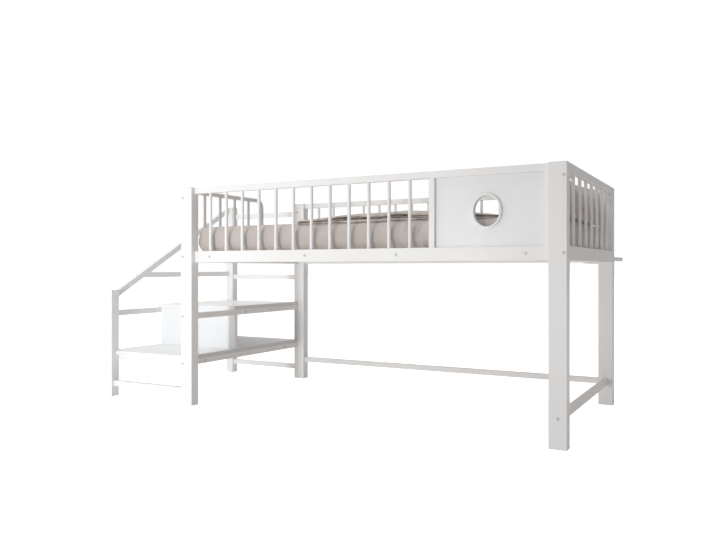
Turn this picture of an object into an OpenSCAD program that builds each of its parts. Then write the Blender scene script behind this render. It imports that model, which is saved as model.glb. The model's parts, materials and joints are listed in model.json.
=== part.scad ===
// Low loft bed with a stair and a cubby at its foot end, millimetres.
// X runs along the bed, from the stair to the head end. Y runs from front to back. Z is up.
// The stair stands left of X = 0 before the whole bed is moved to its origin on the floor.

/* [Bed frame] */
// Length over the bed's posts
bed_length = 1980; // [1700:10:2300]
// Width over the bed's posts
bed_width = 1080; // [860:10:1500]
// Height of the tall posts and the top rails
bed_height = 1123; // [1080:1:1300]
// Width of a bed post along the bed
post_w = 72; // [50:1:90]
// Depth of a bed post across the bed
post_d = 50; // [40:1:70]
// Wall of the square and flat steel tubes
tube_wall = 1.2; // [1:0.1:2.5]
// Thickness of the rails
rail_d = 25; // [20:1:30]
// Height of the top rails, floor rails and step bars
rail_h = 30; // [25:1:35]
// Height of the side rails that carry the bed base
side_rail_h = 58; // [50:1:75]
// Height of the side rails' underside above the floor
side_rail_z = 738; // [660:1:780]
// Height of the floor rails' underside above the floor
floor_rail_z = 106; // [40:1:180]
// Thickness of the plastic cap or foot that closes a post
cap_t = 3; // [2:0.5:6]
// Depth that a cap or foot reaches into its post
plug_h = 16; // [8:1:30]
// Clearance round a plug, a bolt or a notch
clearance = 0.3; // [0.2:0.1:0.8]

/* [Guard rails] */
// Diameter of the upright spindles
spindle_dia = 16; // [12:1:20]
// Spacing wanted between the spindles of the front guard
front_pitch = 104; // [85:1:110]
// Spacing wanted between the spindles of the back guard
back_pitch = 108; // [85:1:112]
// Spacing wanted between the spindles of the end guards
end_pitch = 123; // [90:1:126]
// Clear way in between the foot-end guard and the back post
entry_gap = 353; // [300:1:420]
// Diameter of the bent tube of the foot-end guard
guard_tube_dia = 25; // [20:1:30]
// Bend radius of that tube, on its centre line
guard_bend_r = 45; // [30:1:80]

/* [Window] */
// Width of the window frame beside the head-end post
window_w = 520; // [400:5:700]
// Width of the window frame's uprights
stile_w = 26; // [20:1:35]
// Thickness of the window panel
panel_t = 12; // [9:1:15]
// Width of the porthole
porthole_w = 112; // [80:1:160]
// Height of the porthole
porthole_h = 128; // [100:1:180]
// Distance of the porthole's middle from the head-end post
porthole_from_post = 262; // [200:1:300]
// Width of the porthole's ring
ring_w = 8; // [6:0.5:14]
// Distance that the ring stands out of the panel
ring_proud = 12; // [6:1:13]

/* [Bed base] */
// Distance of the end bearers from the bed's ends
bearer_end = 170; // [130:1:260]
// Distance of the middle bearers from the bed's ends
bearer_middle = 750; // [600:1:800]
// Width of a slat
slat_w = 40; // [30:1:60]
// Thickness of a slat
slat_t = 15; // [10:1:20]
// Spacing wanted between slats
slat_pitch = 140; // [110:1:200]
// Length of the plastic holder at each slat end
holder_l = 12; // [8:1:20]

/* [Stair] */
// Length of the stair beside the bed
stair_l = 563; // [480:1:700]
// Width of a stair post along the bed
stair_post_w = 55; // [40:1:65]
// Height of the front stair post
low_post_h = 587; // [540:1:640]
// Height of the low step board's top
low_step_z = 250; // [200:1:280]
// Height of the upper step board's top
high_step_z = 492; // [440:1:520]
// Thickness of the step boards
board_t = 20; // [15:1:25]
// Distance of the cubby's front from the bed's front
cubby_y = 402; // [340:1:460]
// Thickness of the cubby's panels
cubby_t = 15; // [10:1:18]
// Distance that the low step stands back from the posts' front
low_step_back = 28; // [10:1:45]
// Height of the stair's floor rails above the floor
stair_floor_z = 57; // [30:1:100]
// Height of the open side bar above the floor
side_bar_z = 655; // [600:1:700]
// Height of the lower back bar above the floor
back_bar_low_z = 635; // [560:1:700]
// Drop of the upper back bar's underside below the bed's top
back_bar_drop = 78; // [75:1:180]
// Drop of the handrail's top below the front stair post's top
handrail_drop = 17; // [5:1:60]

/* [Shelf] */
// Length of the bedside shelf
shelf_l = 400; // [300:5:600]
// Width of the shelf, from the bed's back to its outer edge
shelf_w = 270; // [180:1:320]
// Thickness of the shelf board
shelf_t = 19; // [15:1:22]
// Drop of the shelf's top below the side rail's top
shelf_drop = 30; // [20:1:45]
// Inset of the brackets from the shelf's ends
bracket_inset = 70; // [50:1:120]

/* [Fasteners] */
// Diameter of a bolt's head
bolt_head_dia = 13; // [11:0.5:16]
// Height of a bolt's head
bolt_head_h = 4; // [3:0.5:6]
// Diameter of a bolt's shank
bolt_dia = 8; // [6:0.5:8]
// Distance that a bolt reaches into the tube that it holds
bolt_grip = 22; // [12:1:35]

/* [Bedding] */
// Gap between the mattress and the end guards
mattress_end_gap = 12.5; // [8.5:0.5:60]
// Gap between the mattress and the rails beside it
mattress_side_gap = 10.25; // [8.75:0.5:60.25]
// Thickness of the mattress at its edge
mattress_t = 143; // [110:1:180]
// Rise of the mattress's middle above its edge
mattress_crown = 7; // [0:1:15]
// Radius of the mattress's corners seen from above
mattress_corner = 55; // [30:1:90]
// Rounding of the mattress's top and bottom edges
mattress_edge = 64; // [15:1:70]
// Length of the folded cover along the bed
cover_l = 1015; // [600:5:1050]
// Distance of the cover's sides from the mattress's sides
cover_side_gap = 28; // [15:1:60]
// Thickness of the cover in its middle
cover_t = 42; // [20:1:50]
// Height of the cover's folds
fold_h = 5; // [2:1:8]
// Distance of the pillow's ends from the mattress's sides
pillow_side_gap = 40; // [30:1:200]
// Width of the pillow along the bed
pillow_w = 268; // [240:2:300]
// Thickness of the pillow where it is fullest
pillow_t = 192; // [130:1:195]
// Height of the pillow's seam at the head end
pillow_seam_h = 48; // [30:1:60]

/* [Hidden] */

$fn = 48;
seat_gap = 0.3;
over = 1;

white = "#f2f2f0";
panel_white = "#eceef0";
bolt_grey = "#c9c9c9";
linen = "#b9aea4";
cover_linen = "#c4b8ac";
pillow_linen = "#a89da0";

// Faces that the rails line up with.
inner_x0 = post_w;
inner_x1 = bed_length - post_w;
inner_y0 = post_d;
inner_y1 = bed_width - post_d;
front_rail_y = post_d - rail_d;
back_rail_y = bed_width - (post_d + rail_d) / 2;
head_rail_x = bed_length - rail_d;
head_floor_x = bed_length - (post_w + rail_d) / 2;
top_rail_z = bed_height - rail_h;
deck_top = side_rail_z + side_rail_h;
spindle_l = top_rail_z - deck_top;
post_l = bed_height - 2 * cap_t;

// Head and foot guards.
guard_tube_x = guard_tube_dia / 2;
guard_tube_z = bed_height - guard_tube_dia / 2;
guard_end_y = inner_y1 - entry_gap - guard_tube_dia / 2;
lug_z = bed_height - rail_h - 32;
lug_h = 18;

// Window.
window_x = inner_x1 - window_w;
porthole_x = inner_x1 - porthole_from_post;
porthole_z = (deck_top + top_rail_z) / 2;
panel_y = post_d - panel_t;

// Bed base. Its top is level with the bearers' tops.
bearer_y0 = post_d;
bearer_y1 = back_rail_y;
bearer_z = side_rail_z + (side_rail_h - rail_h) / 2;
base_top = bearer_z + rail_h;
bearer_x = [bearer_end, bearer_middle, bed_length - bearer_middle, bed_length - bearer_end];

// Stair.
stair_x0 = -stair_l;
stair_inner_x = stair_x0 + stair_post_w;
side_bar_x = stair_x0;
low_bar_z = low_step_z - board_t - rail_h;
high_bar_z = high_step_z - board_t - rail_h;
cross_bar_l = stair_l - rail_d;
cubby_x0 = side_bar_x + rail_d;
rear_bar_y = inner_y1 - clearance - cubby_t - rail_d;
stair_rail_y = (post_d - rail_d) / 2;
handrail_z0 = low_post_h - handrail_drop;
handrail_slope = (bed_height - handrail_z0) / (inner_y1 - inner_y0);
handrail_h = rail_h * sqrt(1 + pow(handrail_slope, 2));
side_bar_y = inner_y0 + max(0, (side_bar_z + rail_h - handrail_z0 + handrail_h) / handrail_slope);

// Bolts: each entry is a place on a post's front or back face, x and z.
deck_bolt_z = side_rail_z + side_rail_h / 2;
lug_bolt_z = lug_z + lug_h / 2;
low_bolt_z = low_bar_z + rail_h / 2;
high_bolt_z = high_bar_z + rail_h / 2;
floor_bolt_z = floor_rail_z + rail_h / 2;
foot_bolt_x = rail_d / 2;
spare_bolt_x = 20;
head_bolt_x = bed_length - rail_d / 2;
left_bolts = [
    [foot_bolt_x, lug_bolt_z], [foot_bolt_x, deck_bolt_z],
    [foot_bolt_x, high_bolt_z], [foot_bolt_x, low_bolt_z]
];
back_left_bolts = [for (i = [1:3]) left_bolts[i]];
right_bolts = [
    [head_bolt_x, lug_bolt_z], [head_bolt_x, deck_bolt_z],
    [bed_length - post_w / 2, floor_bolt_z]
];

// The origin is on the floor, in the middle of the whole outline.
outline_y0 = -bolt_head_h;
outline_y1 = bed_width + shelf_w;
origin_x = (bed_length - stair_l) / 2;
origin_y = (outline_y0 + outline_y1) / 2;

module place() {
    translate([-origin_x, -origin_y, 0]) children();
}

// A straight tube that is open at both ends of the axis along, 0 to 2 for X to Z.
module tube(size, along) {
    hollow = [for (i = [0:2]) i == along ? size[i] + 2 * over : size[i] - 2 * tube_wall];
    start = [for (i = [0:2]) i == along ? -over : tube_wall];
    difference() {
        cube(size);
        translate(start) cube(hollow);
    }
}

module bolt_hole(x, y, z, depth) {
    translate([x, y - over, z]) rotate([-90, 0, 0]) cylinder(d = bolt_dia + 2 * clearance, h = depth + 2 * over);
}

// A button-head bolt with a hexagon socket, along +Y, with its head's seat at y = 0.
module bolt(length) {
    rotate([-90, 0, 0]) {
        cylinder(d = bolt_dia, h = length);
        difference() {
            rotate_extrude() polygon([
                [0, 0], [bolt_head_dia / 2, 0], [bolt_head_dia / 2, -bolt_head_h * 0.45],
                [bolt_head_dia * 0.42, -bolt_head_h * 0.8], [bolt_head_dia * 0.3, -bolt_head_h], [0, -bolt_head_h]
            ]);
            translate([0, 0, -bolt_head_h - over])
                cylinder(d = bolt_head_dia * 0.45, h = bolt_head_h * 0.6 + over, $fn = 6);
        }
    }
}

// Middles of count pieces of one size, spread between from and to with equal gaps.
function spread(from, to, count, size) =
    [for (i = [0:count - 1]) from + (i + 1) * (to - from - count * size) / (count + 1) + (i + 0.5) * size];

function count_for(span, pitch) = max(1, round(span / pitch) - 1);

module bed_post(x, y, bolts) {
    difference() {
        translate([x, y, cap_t]) tube([post_w, post_d, post_l], 2);
        for (b = bolts) bolt_hole(b[0], y, b[1], post_d);
    }
}

module post_front_left() {
    color(white) place() bed_post(0, 0, left_bolts);
}

module post_front_right() {
    color(white) place() bed_post(inner_x1, 0, right_bolts);
}

// The back left post also has a bolt at the guard's height, as the guard fits at either side.
module post_back_left() {
    color(white) place() difference() {
        bed_post(0, inner_y1, back_left_bolts);
        bolt_hole(spare_bolt_x, inner_y1, lug_bolt_z, tube_wall);
    }
}

module post_back_right() {
    color(white) place() bed_post(inner_x1, inner_y1, right_bolts);
}

// A plug with its plate at z = 0 and its stem upwards.
module plug(w, d) {
    cube([w, d, cap_t]);
    margin = tube_wall + clearance;
    translate([margin, margin, cap_t - 0.01]) cube([w - 2 * margin, d - 2 * margin, plug_h]);
}

module foot_at(x, y, w, d) {
    translate([x, y, 0]) plug(w, d);
}

module cap_at(x, y, w, d, top) {
    translate([x, y + d, top]) rotate([180, 0, 0]) plug(w, d);
}

module post_caps() {
    color(white) place()
        for (x = [0, inner_x1], y = [0, inner_y1]) cap_at(x, y, post_w, post_d, bed_height);
}

module post_feet() {
    color(white) place()
        for (x = [0, inner_x1], y = [0, inner_y1]) foot_at(x, y, post_w, post_d);
}

module long_rail(y, z, h) {
    translate([inner_x0, y, z]) tube([inner_x1 - inner_x0, rail_d, h], 0);
}

module end_rail(x, z, h) {
    translate([x, inner_y0, z]) tube([rail_d, inner_y1 - inner_y0, h], 1);
}

module front_top_rail() {
    color(white) place() long_rail(front_rail_y, top_rail_z, rail_h);
}

module back_top_rail() {
    color(white) place() long_rail(back_rail_y, top_rail_z, rail_h);
}

module head_top_rail() {
    color(white) place() end_rail(head_rail_x, top_rail_z, rail_h);
}

module front_side_rail() {
    color(white) place() difference() {
        long_rail(front_rail_y, side_rail_z, side_rail_h);
        for (x = bearer_x) bolt_hole(x, front_rail_y, deck_bolt_z, rail_d);
    }
}

module back_side_rail() {
    color(white) place() difference() {
        long_rail(back_rail_y, side_rail_z, side_rail_h);
        for (x = bearer_x) bolt_hole(x, back_rail_y, deck_bolt_z, rail_d);
    }
}

module head_side_rail() {
    color(white) place() end_rail(head_rail_x, side_rail_z, side_rail_h);
}

module foot_side_rail() {
    color(white) place() end_rail(0, side_rail_z, side_rail_h);
}

module back_floor_rail() {
    color(white) place() long_rail(back_rail_y, floor_rail_z, rail_h);
}

module head_floor_rail() {
    color(white) place() end_rail(head_floor_x, floor_rail_z, rail_h);
}

module spindle(x, y, length) {
    translate([x, y, deck_top]) cylinder(d = spindle_dia, h = length);
}

module front_spindles() {
    span = window_x - inner_x0;
    color(white) place()
        for (x = spread(inner_x0, window_x, count_for(span, front_pitch), spindle_dia))
            spindle(x, front_rail_y + rail_d / 2, spindle_l);
}

module back_spindles() {
    span = inner_x1 - inner_x0;
    color(white) place()
        for (x = spread(inner_x0, inner_x1, count_for(span, back_pitch), spindle_dia))
            spindle(x, back_rail_y + rail_d / 2, spindle_l);
}

end_spindle_y = spread(inner_y0, inner_y1, count_for(inner_y1 - inner_y0, end_pitch), spindle_dia);

module head_spindles() {
    color(white) place()
        for (y = end_spindle_y) spindle(bed_length - rail_d / 2, y, spindle_l);
}

// The foot guard has the same spacing, as far as its tube runs straight.
module foot_spindles() {
    straight_end = guard_end_y - guard_bend_r;
    color(white) place() intersection() {
        for (y = end_spindle_y)
            if (y + spindle_dia / 2 < straight_end) spindle(guard_tube_x, y, guard_tube_z - deck_top);
        // The spindles end a little short of the tube that they are welded under.
        difference() {
            translate([-rail_d, 0, deck_top]) cube([3 * rail_d, bed_width, bed_height]);
            translate([guard_tube_x, 0, guard_tube_z]) rotate([-90, 0, 0])
                cylinder(d = guard_tube_dia + 0.02, h = bed_width);
        }
    }
}

module foot_guard_tube() {
    color(white) place() translate([guard_tube_x, 0, 0]) {
        translate([0, inner_y0, guard_tube_z]) rotate([-90, 0, 0])
            cylinder(d = guard_tube_dia, h = guard_end_y - guard_bend_r - inner_y0);
        translate([0, guard_end_y - guard_bend_r, guard_tube_z - guard_bend_r]) rotate([0, -90, 0])
            rotate_extrude(angle = 90) translate([guard_bend_r, 0]) circle(d = guard_tube_dia);
        translate([0, guard_end_y, deck_top])
            cylinder(d = guard_tube_dia, h = guard_tube_z - guard_bend_r - deck_top);
    }
}

// Small blocks inside the corners, each held by the top bolt of its post.
module guard_lugs() {
    lug_l = bolt_grip + 6;
    color(white) place() {
        difference() {
            translate([0, inner_y0, lug_z]) cube([rail_d, lug_l, lug_h]);
            bolt_hole(foot_bolt_x, inner_y0, lug_bolt_z, bolt_grip);
        }
        difference() {
            translate([head_rail_x, inner_y0, lug_z]) cube([rail_d, lug_l, lug_h]);
            bolt_hole(head_bolt_x, inner_y0, lug_bolt_z, bolt_grip);
        }
        difference() {
            translate([head_rail_x, inner_y1 - lug_l, lug_z]) cube([rail_d, lug_l, lug_h]);
            bolt_hole(head_bolt_x, inner_y1 - bolt_grip, lug_bolt_z, bolt_grip);
        }
    }
}

module window_stile(x) {
    translate([x, front_rail_y, deck_top]) tube([stile_w, rail_d, spindle_l], 2);
}

module window_left_stile() {
    color(white) place() window_stile(window_x);
}

module window_right_stile() {
    color(white) place() window_stile(inner_x1 - stile_w);
}

module oval(w, h) {
    steps = 72;
    polygon([for (i = [0:steps - 1]) [w / 2 * cos(360 * i / steps), h / 2 * sin(360 * i / steps)]]);
}

module window_panel() {
    x0 = window_x + stile_w;
    color(panel_white) place() translate([0, post_d, 0]) rotate([90, 0, 0]) linear_extrude(panel_t)
        difference() {
            translate([x0, deck_top]) square([window_w - 2 * stile_w, spindle_l]);
            translate([porthole_x, porthole_z]) oval(porthole_w, porthole_h);
        }
}

module porthole_ring() {
    color(white) place() translate([porthole_x, panel_y, porthole_z]) rotate([90, 0, 0])
        linear_extrude(ring_proud) difference() {
            oval(porthole_w + 2 * ring_w, porthole_h + 2 * ring_w);
            oval(porthole_w, porthole_h);
        }
}

module cross_bearers() {
    color(white) place()
        for (x = bearer_x)
            translate([x - rail_d / 2, bearer_y0, bearer_z]) tube([rail_d, bearer_y1 - bearer_y0, rail_h], 1);
}

// Middles of the slats between two bearers.
function slats_between(x0, x1) =
    spread(x0 + rail_d / 2, x1 - rail_d / 2, count_for(x1 - x0, slat_pitch), slat_w);

slat_x = [for (i = [0:2]) each slats_between(bearer_x[i], bearer_x[i + 1])];

module slats() {
    color(white) place()
        for (x = slat_x)
            translate([x - slat_w / 2, bearer_y0 + holder_l / 2, base_top - slat_t])
                cube([slat_w, bearer_y1 - bearer_y0 - holder_l, slat_t]);
}

// A holder is a plastic pocket round one end of a slat, fixed to the side rail.
module slat_holder() {
    wall = 3;
    lip = slat_t + 2 * wall;
    difference() {
        translate([-slat_w / 2 - wall, 0, -wall]) cube([slat_w + 2 * wall, holder_l, lip - wall]);
        translate([-slat_w / 2 - clearance, holder_l / 2 - clearance, -clearance])
            cube([slat_w + 2 * clearance, holder_l, lip]);
    }
}

module slat_holders() {
    color(white) place()
        for (x = slat_x) {
            translate([x, bearer_y0, base_top - slat_t]) slat_holder();
            translate([x, bearer_y1, base_top - slat_t]) mirror([0, 1, 0]) slat_holder();
        }
}

module stair_post(y, height) {
    translate([stair_x0, y, cap_t]) tube([stair_post_w, post_d, height - 2 * cap_t], 2);
}

module stair_post_front() {
    color(white) place() stair_post(0, low_post_h);
}

module stair_post_back() {
    color(white) place() stair_post(inner_y1, bed_height);
}

module stair_post_caps() {
    color(white) place() {
        cap_at(stair_x0, 0, stair_post_w, post_d, low_post_h);
        cap_at(stair_x0, inner_y1, stair_post_w, post_d, bed_height);
    }
}

module stair_post_feet() {
    color(white) place() {
        foot_at(stair_x0, 0, stair_post_w, post_d);
        foot_at(stair_x0, inner_y1, stair_post_w, post_d);
    }
}

// A slanted tube between the two stair posts, cut upright at both ends.
module handrail() {
    wall_z = tube_wall * sqrt(1 + pow(handrail_slope, 2));
    run = inner_y1 - inner_y0;
    extra = over * handrail_slope;
    color(white) place() translate([side_bar_x, inner_y0, handrail_z0]) rotate([90, 0, 90])
        difference() {
            linear_extrude(rail_d) polygon([
                [0, 0], [0, -handrail_h], [run, bed_height - handrail_z0 - handrail_h],
                [run, bed_height - handrail_z0]
            ]);
            translate([0, 0, tube_wall]) linear_extrude(rail_d - 2 * tube_wall) polygon([
                [-over, -extra - wall_z], [-over, -extra - handrail_h + wall_z],
                [run + over, bed_height - handrail_z0 + extra - handrail_h + wall_z],
                [run + over, bed_height - handrail_z0 + extra - wall_z]
            ]);
        }
}

module side_bar(x, y0, z) {
    translate([x, y0, z]) tube([rail_d, inner_y1 - y0, rail_h], 1);
}

// The open side bar starts under the handrail, where its end is cut to the slant.
module side_bar_high() {
    y_low = side_bar_y - rail_h / handrail_slope;
    cut_top = side_bar_z + rail_h;
    color(white) place() difference() {
        side_bar(side_bar_x, y_low, side_bar_z);
        translate([side_bar_x - over, 0, 0]) rotate([90, 0, 90]) linear_extrude(rail_d + 2 * over) polygon([
            [y_low - over, side_bar_z - over * handrail_slope], [side_bar_y + over, cut_top + over * handrail_slope],
            [y_low - over, cut_top + over * handrail_slope]
        ]);
    }
}

module side_bar_middle() {
    color(white) place() side_bar(side_bar_x, inner_y0, high_bar_z);
}

module side_bar_low() {
    color(white) place() side_bar(side_bar_x, inner_y0, low_bar_z);
}

// Places along the bed's bars of the bolts that hold the step boards' frame.
high_bar_bolts = [for (k = [0.156, 0.535]) cubby_y + k * (inner_y1 - cubby_y)];
low_bar_bolts = [for (k = [0.11, 0.85]) inner_y0 + k * (inner_y1 - inner_y0)];

// A side bar at the bed's end with its bolts' holes.
module bed_bar(z, bolts) {
    difference() {
        side_bar(0, inner_y0, z);
        for (y = bolts)
            translate([-over, y, z + rail_h / 2]) rotate([0, 90, 0])
                cylinder(d = bolt_dia + 2 * clearance, h = rail_d + 2 * over);
    }
}

module bed_bar_middle() {
    color(white) place() bed_bar(high_bar_z, high_bar_bolts);
}

module bed_bar_low() {
    color(white) place() bed_bar(low_bar_z, low_bar_bolts);
}

module stair_long_rail(y, z) {
    translate([stair_inner_x, y, z]) tube([-stair_inner_x, rail_d, rail_h], 0);
}

module stair_back_bar_high() {
    color(white) place() stair_long_rail(back_rail_y, bed_height - back_bar_drop);
}

module stair_back_bar_low() {
    color(white) place() stair_long_rail(back_rail_y, back_bar_low_z);
}

module stair_floor_rail_front() {
    color(white) place() stair_long_rail(stair_rail_y, stair_floor_z);
}

module stair_floor_rail_back() {
    color(white) place() stair_long_rail(back_rail_y, stair_floor_z);
}

// Bars that carry the step boards between the side bars.
module step_cross_bars() {
    places = [
        [inner_y0, low_bar_z], [cubby_y, low_bar_z], [rear_bar_y, low_bar_z],
        [cubby_y + cubby_t, high_bar_z], [rear_bar_y, high_bar_z]
    ];
    color(white) place()
        for (p = places)
            translate([side_bar_x + rail_d, p[0], p[1]]) tube([cross_bar_l, rail_d, rail_h], 0);
}

// The low step reaches forward between the posts and is notched round them.
module low_step_board() {
    notch_x0 = stair_inner_x + clearance;
    notch_y = inner_y0 + clearance;
    back_y = inner_y1 - clearance;
    color(panel_white) place() translate([0, 0, low_step_z - board_t]) linear_extrude(board_t) polygon([
        [stair_x0, notch_y], [notch_x0, notch_y], [notch_x0, low_step_back], [-clearance, low_step_back],
        [-clearance, notch_y], [rail_d, notch_y], [rail_d, back_y], [stair_x0, back_y]
    ]);
}

module high_step_board() {
    color(panel_white) place() translate([stair_x0, cubby_y, high_step_z - board_t])
        cube([stair_l + rail_d, inner_y1 - clearance - cubby_y, board_t]);
}

cubby_z0 = low_step_z;
cubby_z1 = high_step_z - board_t;

module cubby_front_panel() {
    color(panel_white) place() translate([cubby_x0, cubby_y, cubby_z0])
        cube([-cubby_x0, cubby_t, cubby_z1 - cubby_z0]);
}

module cubby_side_panel() {
    color(panel_white) place() difference() {
        translate([cubby_x0, cubby_y + cubby_t, cubby_z0])
            cube([cubby_t, inner_y1 - clearance - cubby_y - cubby_t, cubby_z1 - cubby_z0]);
        for (y = [cubby_y + cubby_t, rear_bar_y])
            translate([cubby_x0 - over, y - clearance, high_bar_z - clearance])
                cube([cubby_t + 2 * over, rail_d + 2 * clearance, rail_h + over]);
    }
}

module cubby_upright() {
    color(white) place() translate([0, cubby_y, low_step_z]) tube([rail_d, rail_d, high_bar_z - low_step_z], 2);
}

shelf_x0 = bed_length - shelf_l;
shelf_y0 = bed_width + bolt_head_h + clearance;
shelf_z0 = deck_top - shelf_drop - shelf_t;

module shelf_board() {
    color(panel_white) place() translate([shelf_x0, shelf_y0, shelf_z0])
        cube([shelf_l, outline_y1 - shelf_y0, shelf_t]);
}

// Each bracket is a plate on the back side rail, below its bolts, with an arm under the shelf.
module shelf_brackets() {
    plate_t = 4;
    plate_w = 30;
    arm_h = 14;
    short_of_edge = 25;
    rail_back = back_rail_y + rail_d;
    arm_z = shelf_z0 - arm_h;
    plate_h = deck_bolt_z - bolt_head_dia / 2 - 1 - arm_z;
    color(white) place()
        for (x = [shelf_x0 + bracket_inset, bed_length - bracket_inset - post_w]) {
            translate([x - plate_w / 2, rail_back, arm_z]) cube([plate_w, plate_t, plate_h]);
            translate([x - plate_w / 2, rail_back, arm_z])
                cube([plate_w, outline_y1 - short_of_edge - rail_back, arm_h]);
        }
}

module post_bolts() {
    reach = post_d + bolt_grip;
    color(bolt_grey) place() {
        for (b = concat(left_bolts, right_bolts)) translate([b[0], 0, b[1]]) bolt(reach);
        for (b = concat(back_left_bolts, right_bolts))
            translate([b[0], bed_width, b[1]]) rotate([0, 0, 180]) bolt(reach);
        translate([spare_bolt_x, inner_y1, lug_bolt_z]) bolt(post_d - 2);
    }
}

module bearer_bolts() {
    reach = rail_d + bolt_grip;
    color(bolt_grey) place()
        for (x = bearer_x) {
            translate([x, front_rail_y, deck_bolt_z]) bolt(reach);
            translate([x, back_rail_y + rail_d, deck_bolt_z]) rotate([0, 0, 180]) bolt(reach);
        }
}

module bar_bolts() {
    places = concat([for (y = high_bar_bolts) [y, high_bolt_z]], [for (y = low_bar_bolts) [y, low_bolt_z]]);
    color(bolt_grey) place()
        for (p = places) translate([rail_d, p[0], p[1]]) rotate([0, 0, 90]) bolt(rail_d);
}

// Outline of a rounded rectangle whose sides draw in between its corners.
// Each quarter has steps points; pull is the depth by which a side's middle is drawn in.
function soft_outline(l, w, r, pull, steps) =
    let (corners = [[1, 1, 0], [-1, 1, 90], [-1, -1, 180], [1, -1, 270]], side = 6)
    [for (c = [0:3]) let (k = corners[c], n = corners[(c + 1) % 4],
                          cx = k[0] * (l / 2 - r), cy = k[1] * (w / 2 - r),
                          nx = n[0] * (l / 2 - r), ny = n[1] * (w / 2 - r))
        each concat(
            [for (i = [0:steps]) [cx + r * cos(k[2] + 90 * i / steps), cy + r * sin(k[2] + 90 * i / steps)]],
            [for (i = [1:side - 1]) let (t = i / side, a = k[2] + 90, d = r - pull * pow(sin(180 * t), 2))
                [cx + (nx - cx) * t + d * cos(a), cy + (ny - cy) * t + d * sin(a)]]
        )];

// Triangles of a stack of rings of n points each, closed by one point below and one above.
function stack_faces(rings, n) = concat(
    [for (j = [0:n - 1]) [0, 1 + j, 1 + (j + 1) % n]],
    [for (i = [0:rings - 2], j = [0:n - 1]) let (a = 1 + i * n + j, b = 1 + i * n + (j + 1) % n)
        each [[a, a + n, b], [b, a + n, b + n]]],
    [for (j = [0:n - 1]) let (top = 1 + rings * n, a = 1 + (rings - 1) * n)
        [a + j, top, a + (j + 1) % n]]
);

// A closed padded block: its edges are rounded by round_by, up to half its thickness, and its top swells
// by crown.
module padded_block(l, w, t, r, round_by, crown, pull) {
    steps = 5;
    arc = 5;
    edge = min(round_by, t / 2 - 2);
    levels = concat(
        [[0.4, 0], [0.85, 0]],
        [for (i = [0:arc]) [-1 - edge * (1 - sin(90 * i / arc)), edge * (1 - cos(90 * i / arc))]],
        [for (i = [0:arc]) [-1 - edge * (1 - cos(90 * i / arc)), t - edge * (1 - sin(90 * i / arc))]],
        [for (k = [0.88, 0.72, 0.55, 0.37, 0.18]) [k, t]]
    );
    outline = soft_outline(l, w, r, pull, steps);
    n = len(outline);
    // A level is a share of the outline, or minus one minus the inset from it.
    function inset(p, k) = k >= 0 ? p * k : [
        p[0] * (1 + 2 * (k + 1) / l), p[1] * (1 + 2 * (k + 1) / w)
    ];
    function swell(p) = crown * cos(180 * p[0] / l) * cos(180 * p[1] / w);
    points = concat(
        [[0, 0, 0]],
        [for (v = levels, p = outline) let (q = inset(p, v[0])) [q[0], q[1], v[1] + (v[1] > t / 2 ? swell(q) : 0)]],
        [[0, 0, t + crown]]
    );
    polyhedron(points, stack_faces(len(levels), n));
}

mattress_l = head_rail_x - guard_tube_dia - 2 * mattress_end_gap;
mattress_w = bearer_y1 - bearer_y0 - 2 * mattress_side_gap;
mattress_x = (guard_tube_dia + head_rail_x) / 2;
mattress_y = (bearer_y0 + bearer_y1) / 2;
mattress_z = base_top + seat_gap;

module mattress() {
    color(linen) place() translate([mattress_x, mattress_y, mattress_z])
        padded_block(mattress_l, mattress_w, mattress_t, mattress_corner, mattress_edge, mattress_crown, 4);
}

// Height of the mattress's crown over its edge at a place.
function crown_at(x, y) = mattress_crown * cos(180 * (x - mattress_x) / mattress_l)
    * cos(180 * (y - mattress_y) / mattress_w);

// The pillow lies on the mattress and is squashed against the head end, so it is thin at its foot-end seam
// and full at its head-end seam, which stands higher. Its ends and its side at the head end are fullest.
pillow_l = mattress_w - 2 * pillow_side_gap;
pillow_seam_low = 10;
pillow_levels = [0.3, 0.55, 0.72, 0.83, 0.9, 0.94, 0.97, 0.99, 1];
pillow_outline = soft_outline(pillow_w, pillow_l, 45, 14, 4);

// Height of the seam, and of the pillow's top, where lean is 0 at the foot-end seam and 1 at the head end.
function seam_at(lean) = pillow_seam_low + (pillow_seam_h - pillow_seam_low) * pow(lean, 1.5);
function pillow_top_at(lean) = pillow_t * (0.5 + 0.5 * sin(90 * min(1, 1.3 * lean)));

// The point at share k of the way from the middle to the outline point p.
function pillow_point(p, k, upper) =
    let (lean = 0.5 + k * p[0] / pillow_w, end = pow(abs(2 * p[1] / pillow_l), 6),
         head = pow(max(0, 2 * p[0] / pillow_w), 4), full = sqrt(max(0, 1 - pow(k, 4 + 10 * head + 16 * end))),
         seam = seam_at(lean) * (1 - 0.6 * end))
    [k * p[0], k * p[1], upper ? seam + (pillow_top_at(lean) - seam) * full : seam * (1 - min(1, 1.6 * full))];

pillow_points = concat(
    [pillow_point([0, 0], 0, false)],
    [for (k = pillow_levels, p = pillow_outline) pillow_point(p, k, false)],
    [for (i = [len(pillow_levels) - 2:-1:0], p = pillow_outline) pillow_point(p, pillow_levels[i], true)],
    [pillow_point([0, 0], 0, true)]
);
pillow_x = head_rail_x - 8 - max([for (p = pillow_points) p[0]]);
pillow_z = seat_gap + max([
    for (p = pillow_points) mattress_z + mattress_t + crown_at(pillow_x + p[0], mattress_y + p[1]) - p[2]
]);

module pillow() {
    color(pillow_linen) place() translate([pillow_x, mattress_y, pillow_z])
        polyhedron(pillow_points, stack_faces(2 * len(pillow_levels) - 1, len(pillow_outline)));
}

// The cover is a thick folded sheet that follows the mattress's crown and ends at the pillow.
cover_x1 = pillow_x + min([for (p = pillow_points) p[0]]) - 12;
cover_w = mattress_w - 2 * cover_side_gap;
cover_z = mattress_z + mattress_t + seat_gap;

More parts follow.
